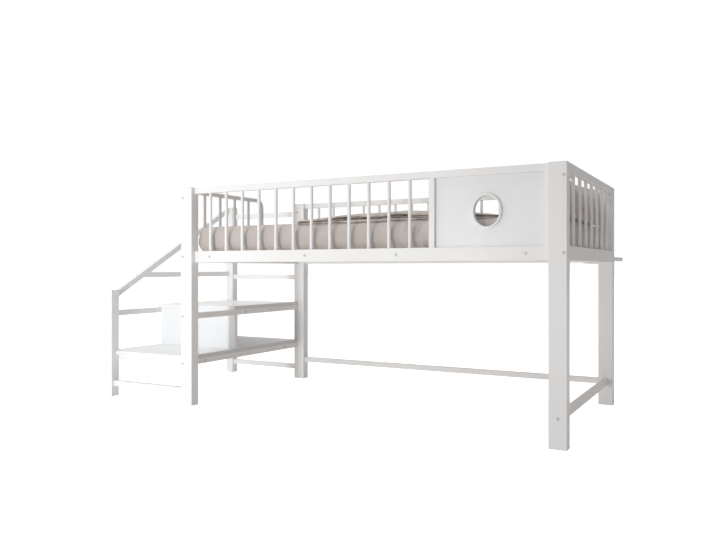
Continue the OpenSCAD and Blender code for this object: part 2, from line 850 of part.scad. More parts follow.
module bed_cover() {
    nx = 36;
    ny = 14;
    edge_t = 9;
    x0 = cover_x1 - cover_l;
    y0 = mattress_y - cover_w / 2;
    function fold(u, v) = fold_h * (0.5 + 0.5 * sin(400 * u + 120 * v) * cos(210 * u - 260 * v + 40));
    function rim(u, v) = min(1, 12 * min(u, 1 - u), 7 * min(v, 1 - v));
    function hump(u) = edge_t + (cover_t - edge_t) * sin(180 * u);
    function rise(u, v) = hump(u) * (0.85 + 0.15 * rim(u, v)) + fold(u, v) * rim(u, v);
    function point(i, j, top) = let (u = i / nx, v = j / ny, x = x0 + cover_l * u, y = y0 + cover_w * v)
        [x, y, cover_z + crown_at(x, y) + (top ? rise(u, v) : 0)];
    points = [for (top = [false, true], i = [0:nx], j = [0:ny]) point(i, j, top)];
    half = (nx + 1) * (ny + 1);
    s = ny + 1;
    function id(i, j) = half + i * s + j;
    sheet = [for (i = [0:nx - 1], j = [0:ny - 1])
        let (a = id(i, j), b = id(i + 1, j), c = id(i + 1, j + 1), d = id(i, j + 1))
        each [[a, c, b], [a, d, c], [a - half, b - half, c - half], [a - half, c - half, d - half]]];
    sides_x = [for (j = [0:ny - 1]) let (a = id(0, j) - half, b = id(nx, j) - half)
        each [[a, a + 1, a + half + 1], [a, a + half + 1, a + half],
              [b, b + half, b + half + 1], [b, b + half + 1, b + 1]]];
    sides_y = [for (i = [0:nx - 1]) let (a = id(i, 0) - half, b = id(i, ny) - half)
        each [[a, a + half, a + half + s], [a, a + half + s, a + s],
              [b, b + s, b + half + s], [b, b + half + s, b + half]]];
    color(cover_linen) place() polyhedron(points, concat(sheet, sides_x, sides_y));
}

post_front_left();
post_front_right();
post_back_left();
post_back_right();
post_caps();
post_feet();
front_top_rail();
back_top_rail();
head_top_rail();
front_side_rail();
back_side_rail();
head_side_rail();
foot_side_rail();
back_floor_rail();
head_floor_rail();
front_spindles();
back_spindles();
head_spindles();
foot_spindles();
foot_guard_tube();
guard_lugs();
window_left_stile();
window_right_stile();
window_panel();
porthole_ring();
cross_bearers();
slats();
slat_holders();
stair_post_front();
stair_post_back();
stair_post_caps();
stair_post_feet();
handrail();
side_bar_high();
side_bar_middle();
side_bar_low();
bed_bar_middle();
bed_bar_low();
stair_back_bar_high();
stair_back_bar_low();
stair_floor_rail_front();
stair_floor_rail_back();
step_cross_bars();
low_step_board();
high_step_board();
cubby_front_panel();
cubby_side_panel();
cubby_upright();
shelf_board();
shelf_brackets();
post_bolts();
bearer_bolts();
bar_bolts();
mattress();
bed_cover();
pillow();
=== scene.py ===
"""Looks of the loft bed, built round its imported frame.

The file is laid out as an add-on and run as a script: each operator finishes or makes one group of pieces,
and the main function at the end calls them in order. Lengths are metres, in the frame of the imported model:
X along the bed from the stair to the head end, Y from the window side to the shelf side, Z up.
"""

import json
import math

import bpy
import numpy as np
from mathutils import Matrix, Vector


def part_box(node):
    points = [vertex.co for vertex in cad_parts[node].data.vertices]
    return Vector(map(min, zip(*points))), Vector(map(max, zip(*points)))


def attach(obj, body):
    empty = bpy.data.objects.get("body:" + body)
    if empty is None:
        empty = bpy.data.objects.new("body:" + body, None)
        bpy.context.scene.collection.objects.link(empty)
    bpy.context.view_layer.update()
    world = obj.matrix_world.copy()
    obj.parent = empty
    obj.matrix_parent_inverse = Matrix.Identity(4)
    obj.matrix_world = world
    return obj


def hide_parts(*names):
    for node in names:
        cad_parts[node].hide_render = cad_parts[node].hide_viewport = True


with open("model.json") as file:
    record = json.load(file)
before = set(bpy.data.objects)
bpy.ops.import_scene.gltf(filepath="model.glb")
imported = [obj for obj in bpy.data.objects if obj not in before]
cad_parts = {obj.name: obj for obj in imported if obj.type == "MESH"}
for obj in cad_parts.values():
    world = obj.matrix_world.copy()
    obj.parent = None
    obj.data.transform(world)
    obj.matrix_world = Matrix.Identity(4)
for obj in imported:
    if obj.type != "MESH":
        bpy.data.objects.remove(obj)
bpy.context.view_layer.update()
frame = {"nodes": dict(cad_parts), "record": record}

bl_info = {
    "name": "Loft bed",
    "version": (1, 0, 0),
    "blender": (4, 5, 0),
    "location": "3D View > Sidebar > Loft bed",
    "description": "Paint, boards, fittings, welds and bedding of a low loft bed",
    "category": "Object",
}

SLOT_OF = {row["node"]: row["material_slot"] for row in frame["record"]["subparts"]}
ROOT = "root"
CORNER_STEPS, SIDE_STEPS = 40, 160    # points of a soft outline's corner and side, before they are spread evenly


# ---------------------------------------------------------------- surfaces

def box_of(node):
    """Lowest and highest corner of a CAD node, as numpy rows."""
    lo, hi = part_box(node)
    return np.array(lo), np.array(hi)


def smooth_step(low, high, value):
    """0 below low, 1 above high, and three minus two times the share, times its square, between them."""
    share = np.clip((value - low) / (high - low), 0, 1)
    return share * share * (3 - 2 * share)


def read_rows(rows, name, width=3, kind=float):
    """One attribute of all rows of a mesh: a table of this width, or a list where the width is 1."""
    values = np.empty(len(rows) * width, kind)
    rows.foreach_get(name, values)
    return values.reshape(-1, width) if width > 1 else values


def soft_outline(length, width, radius, pull, count):
    """Outline of a rounded rectangle whose sides draw in between its corners, seen from above.

    A corner is a quarter circle. A side is a straight line, drawn in by pull times the squared sine of the
    half turn that its share makes. Returns the points at equal steps, their outward normals, the distance
    along the outline (with the closing point), and the share of pull at each point.
    """
    turn = np.linspace(0, np.pi / 2, CORNER_STEPS)
    share = np.linspace(0, 1, SIDE_STEPS)[1:-1]
    places, drawn = [], []
    corners = np.array([(1, 1), (-1, 1), (-1, -1), (1, -1)]) * (length / 2 - radius, width / 2 - radius)
    for k in range(4):
        angle = turn + k * np.pi / 2
        places.append(corners[k] + radius * np.stack([np.cos(angle), np.sin(angle)], -1))
        drawn.append(np.zeros(len(turn)))
        out = np.array([math.cos((k + 1) * math.pi / 2), math.sin((k + 1) * math.pi / 2)])
        inward = np.sin(np.pi * share) ** 2
        line = corners[k] + (corners[(k + 1) % 4] - corners[k]) * share[:, None]
        places.append(line + out * (radius - pull * inward)[:, None])
        drawn.append(inward)
    places, drawn = np.concatenate(places), np.concatenate(drawn)
    closed = np.concatenate([places, places[:1]])
    run = np.concatenate([[0], np.cumsum(np.linalg.norm(np.diff(closed, axis=0), axis=1))])
    at = np.linspace(0, run[-1], count + 1)
    points = np.stack([np.interp(at[:-1], run, closed[:, a]) for a in (0, 1)], -1)
    drawn = np.interp(at[:-1], run, np.append(drawn, drawn[0]))
    tangent = np.roll(points, -1, 0) - np.roll(points, 1, 0)
    tangent /= np.linalg.norm(tangent, axis=1)[:, None]
    return points, np.stack([tangent[:, 1], -tangent[:, 0]], -1), at, drawn


def wrapped_quads(rows, cols):
    """Quads between neighbouring rows of a grid whose columns close on themselves."""
    i, j = np.meshgrid(np.arange(rows - 1), np.arange(cols), indexing="ij")
    k = (j + 1) % cols
    return np.stack([i * cols + j, i * cols + k, (i + 1) * cols + k, (i + 1) * cols + j], -1).reshape(-1, 4)


def looped_quads(rows, cols):
    """Quads of a grid that closes on itself both ways."""
    return wrapped_quads(rows + 1, cols) % (rows * cols)


def quad_corners(uv):
    """UV of each quad's four corners, from the UV of a grid's points."""
    return np.stack([uv[:-1, :-1], uv[:-1, 1:], uv[1:, 1:], uv[1:, :-1]], 2)


def build_piece(name, points, faces, corner_uv=None):
    """An object from points, lists of faces and the UV of each face's corners, in metres of cloth.

    The signed volume is a sixth of the sum of every triangle's triple product. It is positive where the
    faces point outwards, so where it comes out negative all faces are turned round.
    """
    volume = 0.0
    for face in faces:
        for k in range(1, face.shape[1] - 1):
            volume += np.einsum(
                "ij,ij->", points[face[:, 0]], np.cross(points[face[:, k]], points[face[:, k + 1]]))
    if volume < 0:
        faces = [face[:, ::-1] for face in faces]
        corner_uv = corner_uv and [uv[:, ::-1] for uv in corner_uv]
    corners = np.concatenate([face.ravel() for face in faces]).astype(np.int32)
    sizes = np.concatenate([np.full(len(face), face.shape[1]) for face in faces])
    mesh = bpy.data.meshes.new(name)
    mesh.vertices.add(len(points))
    mesh.vertices.foreach_set("co", points.astype(np.float32).ravel())
    mesh.loops.add(len(corners))
    mesh.loops.foreach_set("vertex_index", corners)
    mesh.polygons.add(len(sizes))
    mesh.polygons.foreach_set("loop_start", (np.cumsum(sizes) - sizes).astype(np.int32))
    mesh.polygons.foreach_set("use_smooth", np.ones(len(sizes), bool))
    mesh.update(calc_edges=True)
    if corner_uv:
        layer = mesh.uv_layers.new(name="cloth")
        layer.uv.foreach_set("vector", np.concatenate([uv.ravel() for uv in corner_uv]).astype(np.float32))
    mesh.validate()
    piece = bpy.data.objects.new(name, mesh)
    bpy.context.scene.collection.objects.link(piece)
    return piece


def closed_skin(name, grid, side_uv, flat_rows):
    """A closed surface from rings, one above the other, with a pole at each end.

    side_uv runs along and up the rings. Where flat_rows is true, the cloth lies flat, and its UV is the
    place seen from above.
    """
    rows, cols = grid.shape[:2]
    poles = grid[[0, -1]].mean(1)
    points = np.concatenate([grid.reshape(-1, 3), poles])
    ring = np.arange(cols)
    after = (ring + 1) % cols
    low = np.stack([np.full(cols, rows * cols), after, ring], -1)
    top = np.stack([np.full(cols, rows * cols + 1), ring + (rows - 1) * cols, after + (rows - 1) * cols], -1)
    flat_uv = np.concatenate([grid, grid[:, :1]], 1)[:, :, :2]
    quads_uv = np.where(flat_rows[:, None, None, None], quad_corners(flat_uv), quad_corners(side_uv))
    low_uv = np.stack([np.tile(poles[0, :2], (cols, 1)), flat_uv[0, 1:], flat_uv[0, :-1]], 1)
    top_uv = np.stack([np.tile(poles[1, :2], (cols, 1)), flat_uv[-1, :-1], flat_uv[-1, 1:]], 1)
    return build_piece(name, points, [wrapped_quads(rows, cols), low, top],
                       [quads_uv.reshape(-1, 4, 2), low_uv, top_uv])


def ring_column(counts, low, side, top):
    """A value for each ring of a closed skin, as a column: counts of low ones, the side's, counts of top ones."""
    return np.concatenate([np.full(counts[0], low), side, np.full(counts[1], top)])[:, None]


def ringed_piece(name, grid, along, share):
    """A closed skin whose side is where share is 1. Its UV runs along and up the first column there."""
    climb = np.concatenate([[0], np.cumsum(np.linalg.norm(np.diff(grid[:, 0], axis=0), axis=1))])
    side_uv = np.stack(np.broadcast_arrays(along[None], climb[:, None]), -1)
    flat_rows = (share[1:, 0] < 1) | (share[:-1, 0] < 1)
    return closed_skin(name, grid, side_uv, flat_rows)


def creases(along, height, total, table):
    """Sum of ridges on a cloth's side: each is a bell curve across a line that leans with the height.

    A row of table holds the place along the outline, the bell's width, the lean over the whole height, the
    ridge's depth, and the height at which it is strongest. It fades away from there as a wider bell.
    """
    faded = 0.45
    place, width, lean, depth, strongest = table.T
    off = along[..., None] - place - lean * (height[..., None] - 0.5)
    off = (off + total / 2) % total - total / 2
    fade = np.exp(-((height[..., None] - strongest) / faded) ** 2)
    return (depth * np.exp(-0.5 * (off / width) ** 2) * fade).sum(-1)


def crumple(u, v, seed, count, shortest, longest):
    """Small creases that never repeat, from about -1 to 1: a sum of plane waves of random direction and phase.

    The mean of the waves shrinks with the square root of their count, so it is multiplied by that root.
    """
    highest = 1.8
    rng = np.random.default_rng(seed)
    wave = 2 * np.pi / rng.uniform(shortest, longest, count)
    heading = rng.uniform(0, 2 * np.pi, count)
    phase = rng.uniform(0, 2 * np.pi, count)
    waves = np.sin(wave * (u[..., None] * np.cos(heading) + v[..., None] * np.sin(heading)) + phase)
    return waves.mean(-1) * math.sqrt(count) / highest


# ---------------------------------------------------------------- shaders

def put(tree, kind, inputs=None, **settings):
    """Adds a node. A value in inputs that is a socket is linked, and any other is set."""
    made = tree.nodes.new(kind)
    for key, value in settings.items():
        setattr(made, key, value)
    for key, value in (inputs or {}).items():
        if isinstance(value, bpy.types.NodeSocket):
            tree.links.new(value, made.inputs[key])
        else:
            made.inputs[key].default_value = value
    return made


def calc(tree, operation, *values):
    """Adds a Math node and returns its result."""
    return put(tree, "ShaderNodeMath", dict(enumerate(values)), operation=operation).outputs[0]


def multiplied(tree, value, factor, added=0.0):
    """Multiplies a value by a factor, adds another, and returns the result."""
    return calc(tree, "MULTIPLY_ADD", value, factor, added)


def spread_value(tree, value, low, high, to_low, to_high):
    """Adds a Map Range node and returns its result."""
    return put(tree, "ShaderNodeMapRange", {
        "Value": value, "From Min": low, "From Max": high, "To Min": to_low, "To Max": to_high}).outputs[0]


def blend_colour(tree, share, first, second):
    """Adds a colour Mix node and returns its colour."""
    return put(tree, "ShaderNodeMix", {0: share, 6: first, 7: second}, data_type="RGBA").outputs[2]


def tinted(tree, mask, strength, tone, colour):
    """Blends a colour over a tone where a mask is bright, up to this strength."""
    return blend_colour(tree, multiplied(tree, mask, strength), tone, colour)


def object_noise(tree, **inputs):
    """Adds a noise that is fixed to the object and returns its value. Names in inputs hold _ for a space."""
    place = put(tree, "ShaderNodeTexCoord").outputs["Object"]
    named = {key.replace("_", " "): value for key, value in inputs.items()}
    return put(tree, "ShaderNodeTexNoise", {"Vector": place, **named}).outputs[0]


def scaled(tree, vector, factors, added=(0.0, 0.0, 0.0)):
    """Multiplies a vector by factors, one for each axis, adds another, and returns the result."""
    return put(tree, "ShaderNodeVectorMath", {0: vector, 1: factors, 2: added},
               operation="MULTIPLY_ADD").outputs[0]


def new_group(name, **inputs):
    """A shader node group and its named inputs, each with a default: a number, or a row of three."""
    tree = bpy.data.node_groups.new(name, "ShaderNodeTree")
    for label, default in inputs.items():
        kind = "NodeSocketFloat" if isinstance(default, float) else "NodeSocketVector"
        tree.interface.new_socket(label, in_out="INPUT", socket_type=kind).default_value = default
    return tree, tree.nodes.new("NodeGroupInput").outputs


def close_group(tree, **results):
    """Gives a group its named outputs, and returns it."""
    for label, value in results.items():
        kind = "NodeSocketVector" if value.type == "VECTOR" else "NodeSocketFloat"
        tree.interface.new_socket(label, in_out="OUTPUT", socket_type=kind)
    out = tree.nodes.new("NodeGroupOutput").inputs
    for label, value in results.items():
        tree.links.new(value, out[label])
    return tree


def rounded_edges():
    """Group: a normal that is rounded over sharp edges, and a mask of those edges."""
    tree, given = new_group("Rounded edges", Radius=0.002)
    bevel = put(tree, "ShaderNodeBevel", {"Radius": given["Radius"]}, samples=4).outputs[0]
    flat = put(tree, "ShaderNodeNewGeometry").outputs["Normal"]
    facing = put(tree, "ShaderNodeVectorMath", {0: bevel, 1: flat}, operation="DOT_PRODUCT").outputs["Value"]
    return close_group(tree, Normal=bevel, Edge=spread_value(tree, facing, 1.0, 0.88, 0.0, 1.0))


def slow_drift():
    """Group: a slow change of tone over the surface, and small specks of it."""
    tree, given = new_group("Slow drift", Scale=4.0, Specks=90.0)
    broad = object_noise(tree, Scale=given["Scale"], Detail=3.0, Roughness=0.55)
    small = object_noise(tree, Scale=given["Specks"], Detail=4.0, Roughness=0.7)
    return close_group(tree, Drift=spread_value(tree, broad, 0.32, 0.68, 0.0, 1.0),
                       Speckle=spread_value(tree, small, 0.42, 0.74, 0.0, 1.0))


def orange_peel():
    """Group: the shallow pebbling of a sprayed or moulded skin, as a height."""
    tree, given = new_group("Orange peel", Scale=700.0, Waviness=60.0)
    place = put(tree, "ShaderNodeTexCoord").outputs["Object"]
    pebble = put(tree, "ShaderNodeTexVoronoi", {"Vector": place, "Scale": given["Scale"]},
                 feature="SMOOTH_F1").outputs["Distance"]
    wave = object_noise(tree, Scale=given["Waviness"], Detail=2.0)
    return close_group(tree, Height=multiplied(tree, pebble, 0.45, wave))


def timber_grain():
    """Group: long fibres and pores along one axis, as a tone mask and a height."""
    tree, given = new_group("Timber grain", Squeeze=(30.0, 2.0, 30.0), Figure=3.0)
    drawn = scaled(tree, put(tree, "ShaderNodeTexCoord").outputs["Object"], given["Squeeze"])
    warp = put(tree, "ShaderNodeTexNoise", {"Vector": drawn, "Scale": 0.35, "Detail": 2.0}).outputs["Color"]
    bent = scaled(tree, warp, (2.4, 0.6, 2.4), drawn)
    rings = put(tree, "ShaderNodeTexWave", {
        "Vector": bent, "Scale": given["Figure"], "Distortion": 2.2, "Detail": 3.0, "Detail Scale": 1.6},
        bands_direction="X").outputs["Fac"]
    pores = put(tree, "ShaderNodeTexNoise", {
        "Vector": drawn, "Scale": 26.0, "Detail": 5.0, "Roughness": 0.7}).outputs[0]
    return close_group(tree, Fibre=multiplied(tree, rings, 0.6, multiplied(tree, pores, 0.45)),
                       Height=multiplied(tree, pores, 0.6, multiplied(tree, rings, 0.3)))


def linen_weave():
    """Group: a plain weave with slubs, from a UV in metres.

    Warp and weft are absolute sines of the place over the thread pitch. Each passes over and under by a
    cosine that changes sign from thread to thread, and the higher of the two is the cloth's height.
    """
    tree, given = new_group("Linen weave", Cloth=(0.0, 0.0, 0.0), Pitch=0.0011)
    wander = put(tree, "ShaderNodeTexNoise", {"Vector": given["Cloth"], "Scale": 85.0, "Detail": 2.0})
    bent = scaled(tree, wander.outputs["Color"], (0.0009, 0.0009, 0.0), given["Cloth"])
    parts = put(tree, "ShaderNodeSeparateXYZ", {0: bent}).outputs
    across, along = [calc(tree, "DIVIDE", parts[k], given["Pitch"]) for k in (0, 1)]

    def threads(count, other, shift):
        ridge = calc(tree, "ABSOLUTE", calc(tree, "SINE", multiplied(tree, count, math.pi)))
        number = calc(tree, "ADD", calc(tree, "FLOOR", count), shift)
        turn = multiplied(tree, calc(tree, "ADD", other, number), math.pi)
        return multiplied(tree, ridge, multiplied(tree, calc(tree, "SINE", turn), 0.4, 0.6))

    weave = calc(tree, "MAXIMUM", threads(across, along, 0.0), threads(along, across, 1.0))
    streaks = []
    for squeeze in ((55.0, 900.0, 1.0), (800.0, 60.0, 1.0)):
        noise = put(tree, "ShaderNodeTexNoise", {
            "Vector": scaled(tree, bent, squeeze), "Scale": 1.0, "Detail": 2.5, "Roughness": 0.6})
        streaks.append(spread_value(tree, noise.outputs[0], 0.38, 0.72, 0.0, 1.0))
    slub = calc(tree, "MAXIMUM", *streaks)
    return close_group(tree, Height=multiplied(tree, slub, 0.55, weave), Slub=slub, Thread=weave)


def washed_creases():
    """Group: the shallow creases of washed cloth, as a height."""
    tree, given = new_group("Washed creases", Scale=38.0)
    return close_group(tree, Height=object_noise(tree, Scale=given["Scale"], Detail=4.0, Distortion=0.6))


GROUPS = {}


def use_group(tree, maker, **inputs):
    """Places a node group, which is built on its first use, and returns its outputs."""
    if maker.__name__ not in GROUPS:
        GROUPS[maker.__name__] = maker()
    return put(tree, "ShaderNodeGroup", inputs, node_tree=GROUPS[maker.__name__]).outputs


def new_material(name, **values):
    """A material with one Principled BSDF whose even values are set on its own sockets."""
    material = bpy.data.materials.new(name)
    material.use_nodes = True
    tree = material.node_tree
    skin = tree.nodes["Principled BSDF"]
    for key, value in values.items():
        skin.inputs[key.replace("_", " ")].default_value = value
    return material, tree, skin.inputs


def rgba(colour, factor=1.0):
    return (*[min(1.0, c * factor) for c in colour], 1.0)


def finish_skin(tree, skin, tone, rough, strength, depth, height, normal):
    """Feeds a material its colour, its roughness, and a normal with this height as bumps of this depth."""
    bump = put(tree, "ShaderNodeBump", {
        "Strength": strength, "Distance": depth, "Height": height, "Normal": normal})
    for label, value in (("Base Color", tone), ("Roughness", rough), ("Normal", bump.outputs[0])):
        tree.links.new(value, skin[label])


def sprayed_material(name, colour, peel, radius, depth, gloss):
    """Satin coat: slow drift of tone, pebbled skin, rounded edges, and a painted highlight that makes the colour a
    little brighter along the edges.
    """
    material, tree, skin = new_material(name, IOR=1.5, Coat_Weight=0.12, Coat_Roughness=0.28)
    edges = use_group(tree, rounded_edges, Radius=radius)
    drift = use_group(tree, slow_drift, Scale=3.0, Specks=140.0)
    pebbles = use_group(tree, orange_peel, Scale=peel, Waviness=peel / 9)["Height"]
    tone = blend_colour(tree, drift["Drift"], rgba(colour, 0.965), rgba(colour))
    tone = tinted(tree, drift["Speckle"], 0.25, tone, rgba(colour, 0.93))
    # Painted highlight: the coat's colour is made a little brighter along the edges.
    tone = tinted(tree, edges["Edge"], 0.5, tone, rgba(colour, 1.05))
    rough = multiplied(tree, drift["Speckle"], 0.10, gloss)
    rough = multiplied(tree, edges["Edge"], -0.06, rough)
    finish_skin(tree, skin, tone, rough, 0.35, depth, pebbles, edges["Normal"])
    return material


def board_material(name, colour, band=None):
    """Lacquered fibreboard: a faint nap of fibres under a satin lacquer, eased edges that are a little darker.

    Where a band's colour is given, it lies on the two ends, which look along the bed.
    """
    material, tree, skin = new_material(name, IOR=1.48, Coat_Weight=0.2, Coat_Roughness=0.2)
    edges = use_group(tree, rounded_edges, Radius=0.0022)
    drift = use_group(tree, slow_drift, Scale=2.2, Specks=60.0)
    grain = use_group(tree, timber_grain, Squeeze=(3.0, 40.0, 40.0), Figure=1.2)
    tone = blend_colour(tree, drift["Drift"], rgba(colour, 0.97), rgba(colour))
    tone = tinted(tree, grain["Fibre"], 0.10, tone, rgba(colour, 0.9))
    tone = tinted(tree, edges["Edge"], 0.35, tone, rgba(colour, 0.86))
    if band is not None:
        facing = put(tree, "ShaderNodeNewGeometry").outputs["True Normal"]
        along = put(tree, "ShaderNodeSeparateXYZ", {0: facing}).outputs[0]
        ends = calc(tree, "GREATER_THAN", calc(tree, "ABSOLUTE", along), 0.5)
        tone = tinted(tree, ends, 0.75, tone, rgba(band))
    rough = multiplied(tree, grain["Fibre"], 0.07, 0.34)
    finish_skin(tree, skin, tone, rough, 0.25, 0.0002, grain["Height"], edges["Normal"])
    return material


def slat_material(name, colour):
    """Planed softwood: long fibres across the bed, darker late rings, dry surface."""
    material, tree, skin = new_material(name, IOR=1.45)
    edges = use_group(tree, rounded_edges, Radius=0.0015)
    drift = use_group(tree, slow_drift, Scale=6.0, Specks=30.0)
    grain = use_group(tree, timber_grain, Squeeze=(2.0, 60.0, 60.0), Figure=1.0)
    late = [c * k for c, k in zip(colour, (0.8, 0.66, 0.5))]
    tone = blend_colour(tree, grain["Fibre"], rgba(colour), rgba(late))
    tone = tinted(tree, drift["Drift"], 0.3, tone, rgba(colour, 1.08))
    tone = tinted(tree, edges["Edge"], 0.3, tone, rgba(colour, 1.15))
    rough = multiplied(tree, grain["Fibre"], 0.18, 0.5)
    finish_skin(tree, skin, tone, rough, 0.5, 0.0003, grain["Height"], edges["Normal"])
    return material


def plated_material(name, colour):
    """Zinc plate: cloudy grey metal with fine pits, brighter on worn edges."""
    material, tree, skin = new_material(name, Metallic=0.3, IOR=1.5)
    edges = use_group(tree, rounded_edges, Radius=0.0006)
    drift = use_group(tree, slow_drift, Scale=120.0, Specks=900.0)
    pits = use_group(tree, orange_peel, Scale=2600.0, Waviness=400.0)["Height"]
    tone = blend_colour(tree, drift["Drift"], rgba(colour, 0.82), rgba(colour))
    tone = tinted(tree, edges["Edge"], 0.6, tone, rgba(colour, 1.2))
    rough = multiplied(tree, drift["Speckle"], 0.16, 0.34)
    finish_skin(tree, skin, tone, rough, 0.4, 0.0001, pits, edges["Normal"])
    return material


def cloth_material(name, colour, warmth, pitch, depth):
    """Washed linen: woven threads with slubs, tone that drifts between two dye strengths, painted shade in the gaps
    between the threads, and soft sheen.
    """
    material, tree, skin = new_material(name, Sheen_Weight=0.35, Sheen_Roughness=0.55, IOR=1.4)
    warm = [c * k for c, k in zip(colour, warmth)]
    cloth = put(tree, "ShaderNodeUVMap", uv_map="cloth").outputs[0]
    weave = use_group(tree, linen_weave, Cloth=cloth, Pitch=pitch)
    drift = use_group(tree, slow_drift, Scale=5.0, Specks=45.0)
    tone = blend_colour(tree, drift["Drift"], rgba(warm), rgba(colour))
    tone = tinted(tree, weave["Slub"], 0.34, tone, rgba(warm, 0.8))
    # Painted shade: the colour darkens in the gaps between the threads, where the weave's height is low.
    between = multiplied(tree, weave["Thread"], -0.28, 0.3)
    tone = blend_colour(tree, between, tone, rgba(warm, 0.62))
    rough = multiplied(tree, drift["Speckle"], 0.08, 0.84)
    folds = put(tree, "ShaderNodeBump", {
        "Strength": 0.45, "Distance": 0.004, "Height": use_group(tree, washed_creases)["Height"]})
    finish_skin(tree, skin, tone, rough, 0.7, depth, weave["Height"], folds.outputs[0])
    return material


def dress(piece, material):
    """Gives a new piece its material and slot, and lets it ride on the bed."""
    piece.data.materials.clear()
    piece.data.materials.append(material)
    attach(piece, ROOT)


def paint_node(node, material):
    """Puts a material on every slot of a CAD node."""
    places = frame["nodes"][node].material_slots
    if not places:
        raise RuntimeError(f"{node} has no material slot")
    for place in places:
        place.material = material


def paint_slot(slot, material):
    """Puts a material on every CAD node of a slot of the record."""
    for node, named in SLOT_OF.items():
        if named == slot:
            paint_node(node, material)


# ---------------------------------------------------------------- settings

def number_setting(label, text, default, unit="NONE"):
    return bpy.props.FloatProperty(name=label, description=text, default=default, min=0.0, unit=unit)


def colour_setting(label, text, default):
    return bpy.props.FloatVectorProperty(
        name=label, description=text, default=default, min=0.0, max=1.0, size=3, subtype="COLOR")


class LoftBedFinish(bpy.types.PropertyGroup):
    """Colours of the hard parts, and how their skins are made."""

    paint: colour_setting("Paint", "Colour of the powder coat on the steel", (0.86, 0.86, 0.855))
    lacquer: colour_setting("Lacquer", "Colour of the lacquered boards", (0.85, 0.86, 0.87))
    band: colour_setting("Band", "Colour of the bands on the ends of the steps", (0.62, 0.62, 0.63))
    plastic: colour_setting("Plastic", "Colour of the caps, feet and slat holders", (0.84, 0.84, 0.83))
    timber: colour_setting("Timber", "Colour of the slats", (0.70, 0.63, 0.54))
    zinc: colour_setting("Zinc", "Colour of the bolts' plating", (0.74, 0.74, 0.73))
    edge_radius: number_setting("Edge radius", "Rounding of the steel tubes' edges", 0.002, "LENGTH")
    weld: number_setting("Weld", "Reach of a weld from its spindle", 0.0026, "LENGTH")


class LoftBedBedding(bpy.types.PropertyGroup):
    """Colours and folds of the bedding."""

    sheet: colour_setting("Sheet", "Colour of the mattress's linen", (0.62, 0.567, 0.533))
    cover: colour_setting("Cover", "Colour of the folded cover's linen", (0.61, 0.56, 0.51))
    pillow: colour_setting("Pillow", "Colour of the pillow's linen", (0.58, 0.53, 0.52))
    thread: number_setting("Thread", "Distance between neighbouring threads", 0.0011, "LENGTH")
    fold: number_setting("Fold", "Depth of the folds on the mattress's sides", 0.0032, "LENGTH")
    swell: number_setting("Swell", "Distance that the pillow's cloth may swell", 0.012, "LENGTH")
    piping: number_setting("Piping", "Radius of the pillow's piping", 0.0028, "LENGTH")


class LoftBedStage(bpy.types.PropertyGroup):
    """Floor and light."""

    floor: colour_setting("Floor", "Colour of the studio floor", (0.80, 0.775, 0.76))
    ambient: number_setting("Ambient", "Light from all around, stronger from the left", 0.55)
    glow: number_setting("Glow", "Light that the floor gives back", 0.25)
    key: number_setting("Key", "Power of the small low light in front", 13.8, "POWER")
    top: number_setting("Top", "Power of the light above", 92.0, "POWER")


# ---------------------------------------------------------------- hard parts

class LOFTBED_OT_paint_steel(bpy.types.Operator):
    """Coats the steel tubes, rails, spindles and brackets with satin powder."""

    bl_idname = "loftbed.paint_steel"
    bl_label = "Paint the steel"

    def execute(self, context):
        look = context.scene.loft_bed_finish
        paint_slot("frame_paint", sprayed_material(
            "satin_powder_coat", look.paint, 620.0, look.edge_radius, 0.00025, 0.36))
        return {"FINISHED"}


class LOFTBED_OT_lacquer_boards(bpy.types.Operator):
    """Lacquers the window panel, steps, cubby panels and shelf."""

    bl_idname = "loftbed.lacquer_boards"
    bl_label = "Lacquer the boards"

    def execute(self, context):
        look = context.scene.loft_bed_finish
        paint_slot("board_lacquer", board_material("satin_board_lacquer", look.lacquer))
        banded = board_material("edge_banded_lacquer", look.lacquer, look.band)
        for node in ("low_step_board", "high_step_board"):
            paint_node(node, banded)
        return {"FINISHED"}


class LOFTBED_OT_finish_fittings(bpy.types.Operator):
    """Finishes the plastic caps, feet and slat holders, and the bolts."""

    bl_idname = "loftbed.finish_fittings"
    bl_label = "Finish the fittings"

    def execute(self, context):
        look = context.scene.loft_bed_finish
        paint_slot("white_plastic", sprayed_material(
            "moulded_white_plastic", look.plastic, 1500.0, 0.0012, 0.00012, 0.46))
        paint_slot("bolt_steel", plated_material("zinc_plate", look.zinc))
        return {"FINISHED"}


class LOFTBED_OT_finish_slats(bpy.types.Operator):
    """Gives the slats their timber."""

    bl_idname = "loftbed.finish_slats"
    bl_label = "Finish the slats"

    def execute(self, context):
        paint_slot("slat_wood", slat_material("planed_softwood", context.scene.loft_bed_finish.timber))
        return {"FINISHED"}


BAR_GAP = 0.02    # points of one bar lie closer than this, and those of two bars farther apart


def upright_middles(node):
    """Middles, radius, and lowest and highest level of the upright round bars in a CAD node.

    The bars are told apart by the gaps between its points along the guard.
    """
    co = read_rows(frame["nodes"][node].data.vertices, "co")
    axis = int(np.ptp(co[:, 1]) > np.ptp(co[:, 0]))
    order = np.sort(co[:, axis])
    cuts = np.flatnonzero(np.diff(order) > BAR_GAP)
    low = order[np.concatenate([[0], cuts + 1])]
    high = order[np.concatenate([cuts, [len(order) - 1]])]
    middles = np.zeros((len(low), 2))
    middles[:, axis] = (low + high) / 2
    middles[:, 1 - axis] = (co[:, 1 - axis].min() + co[:, 1 - axis].max()) / 2
    return middles, (high[0] - low[0]) / 2, co[:, 2].min(), co[:, 2].max()


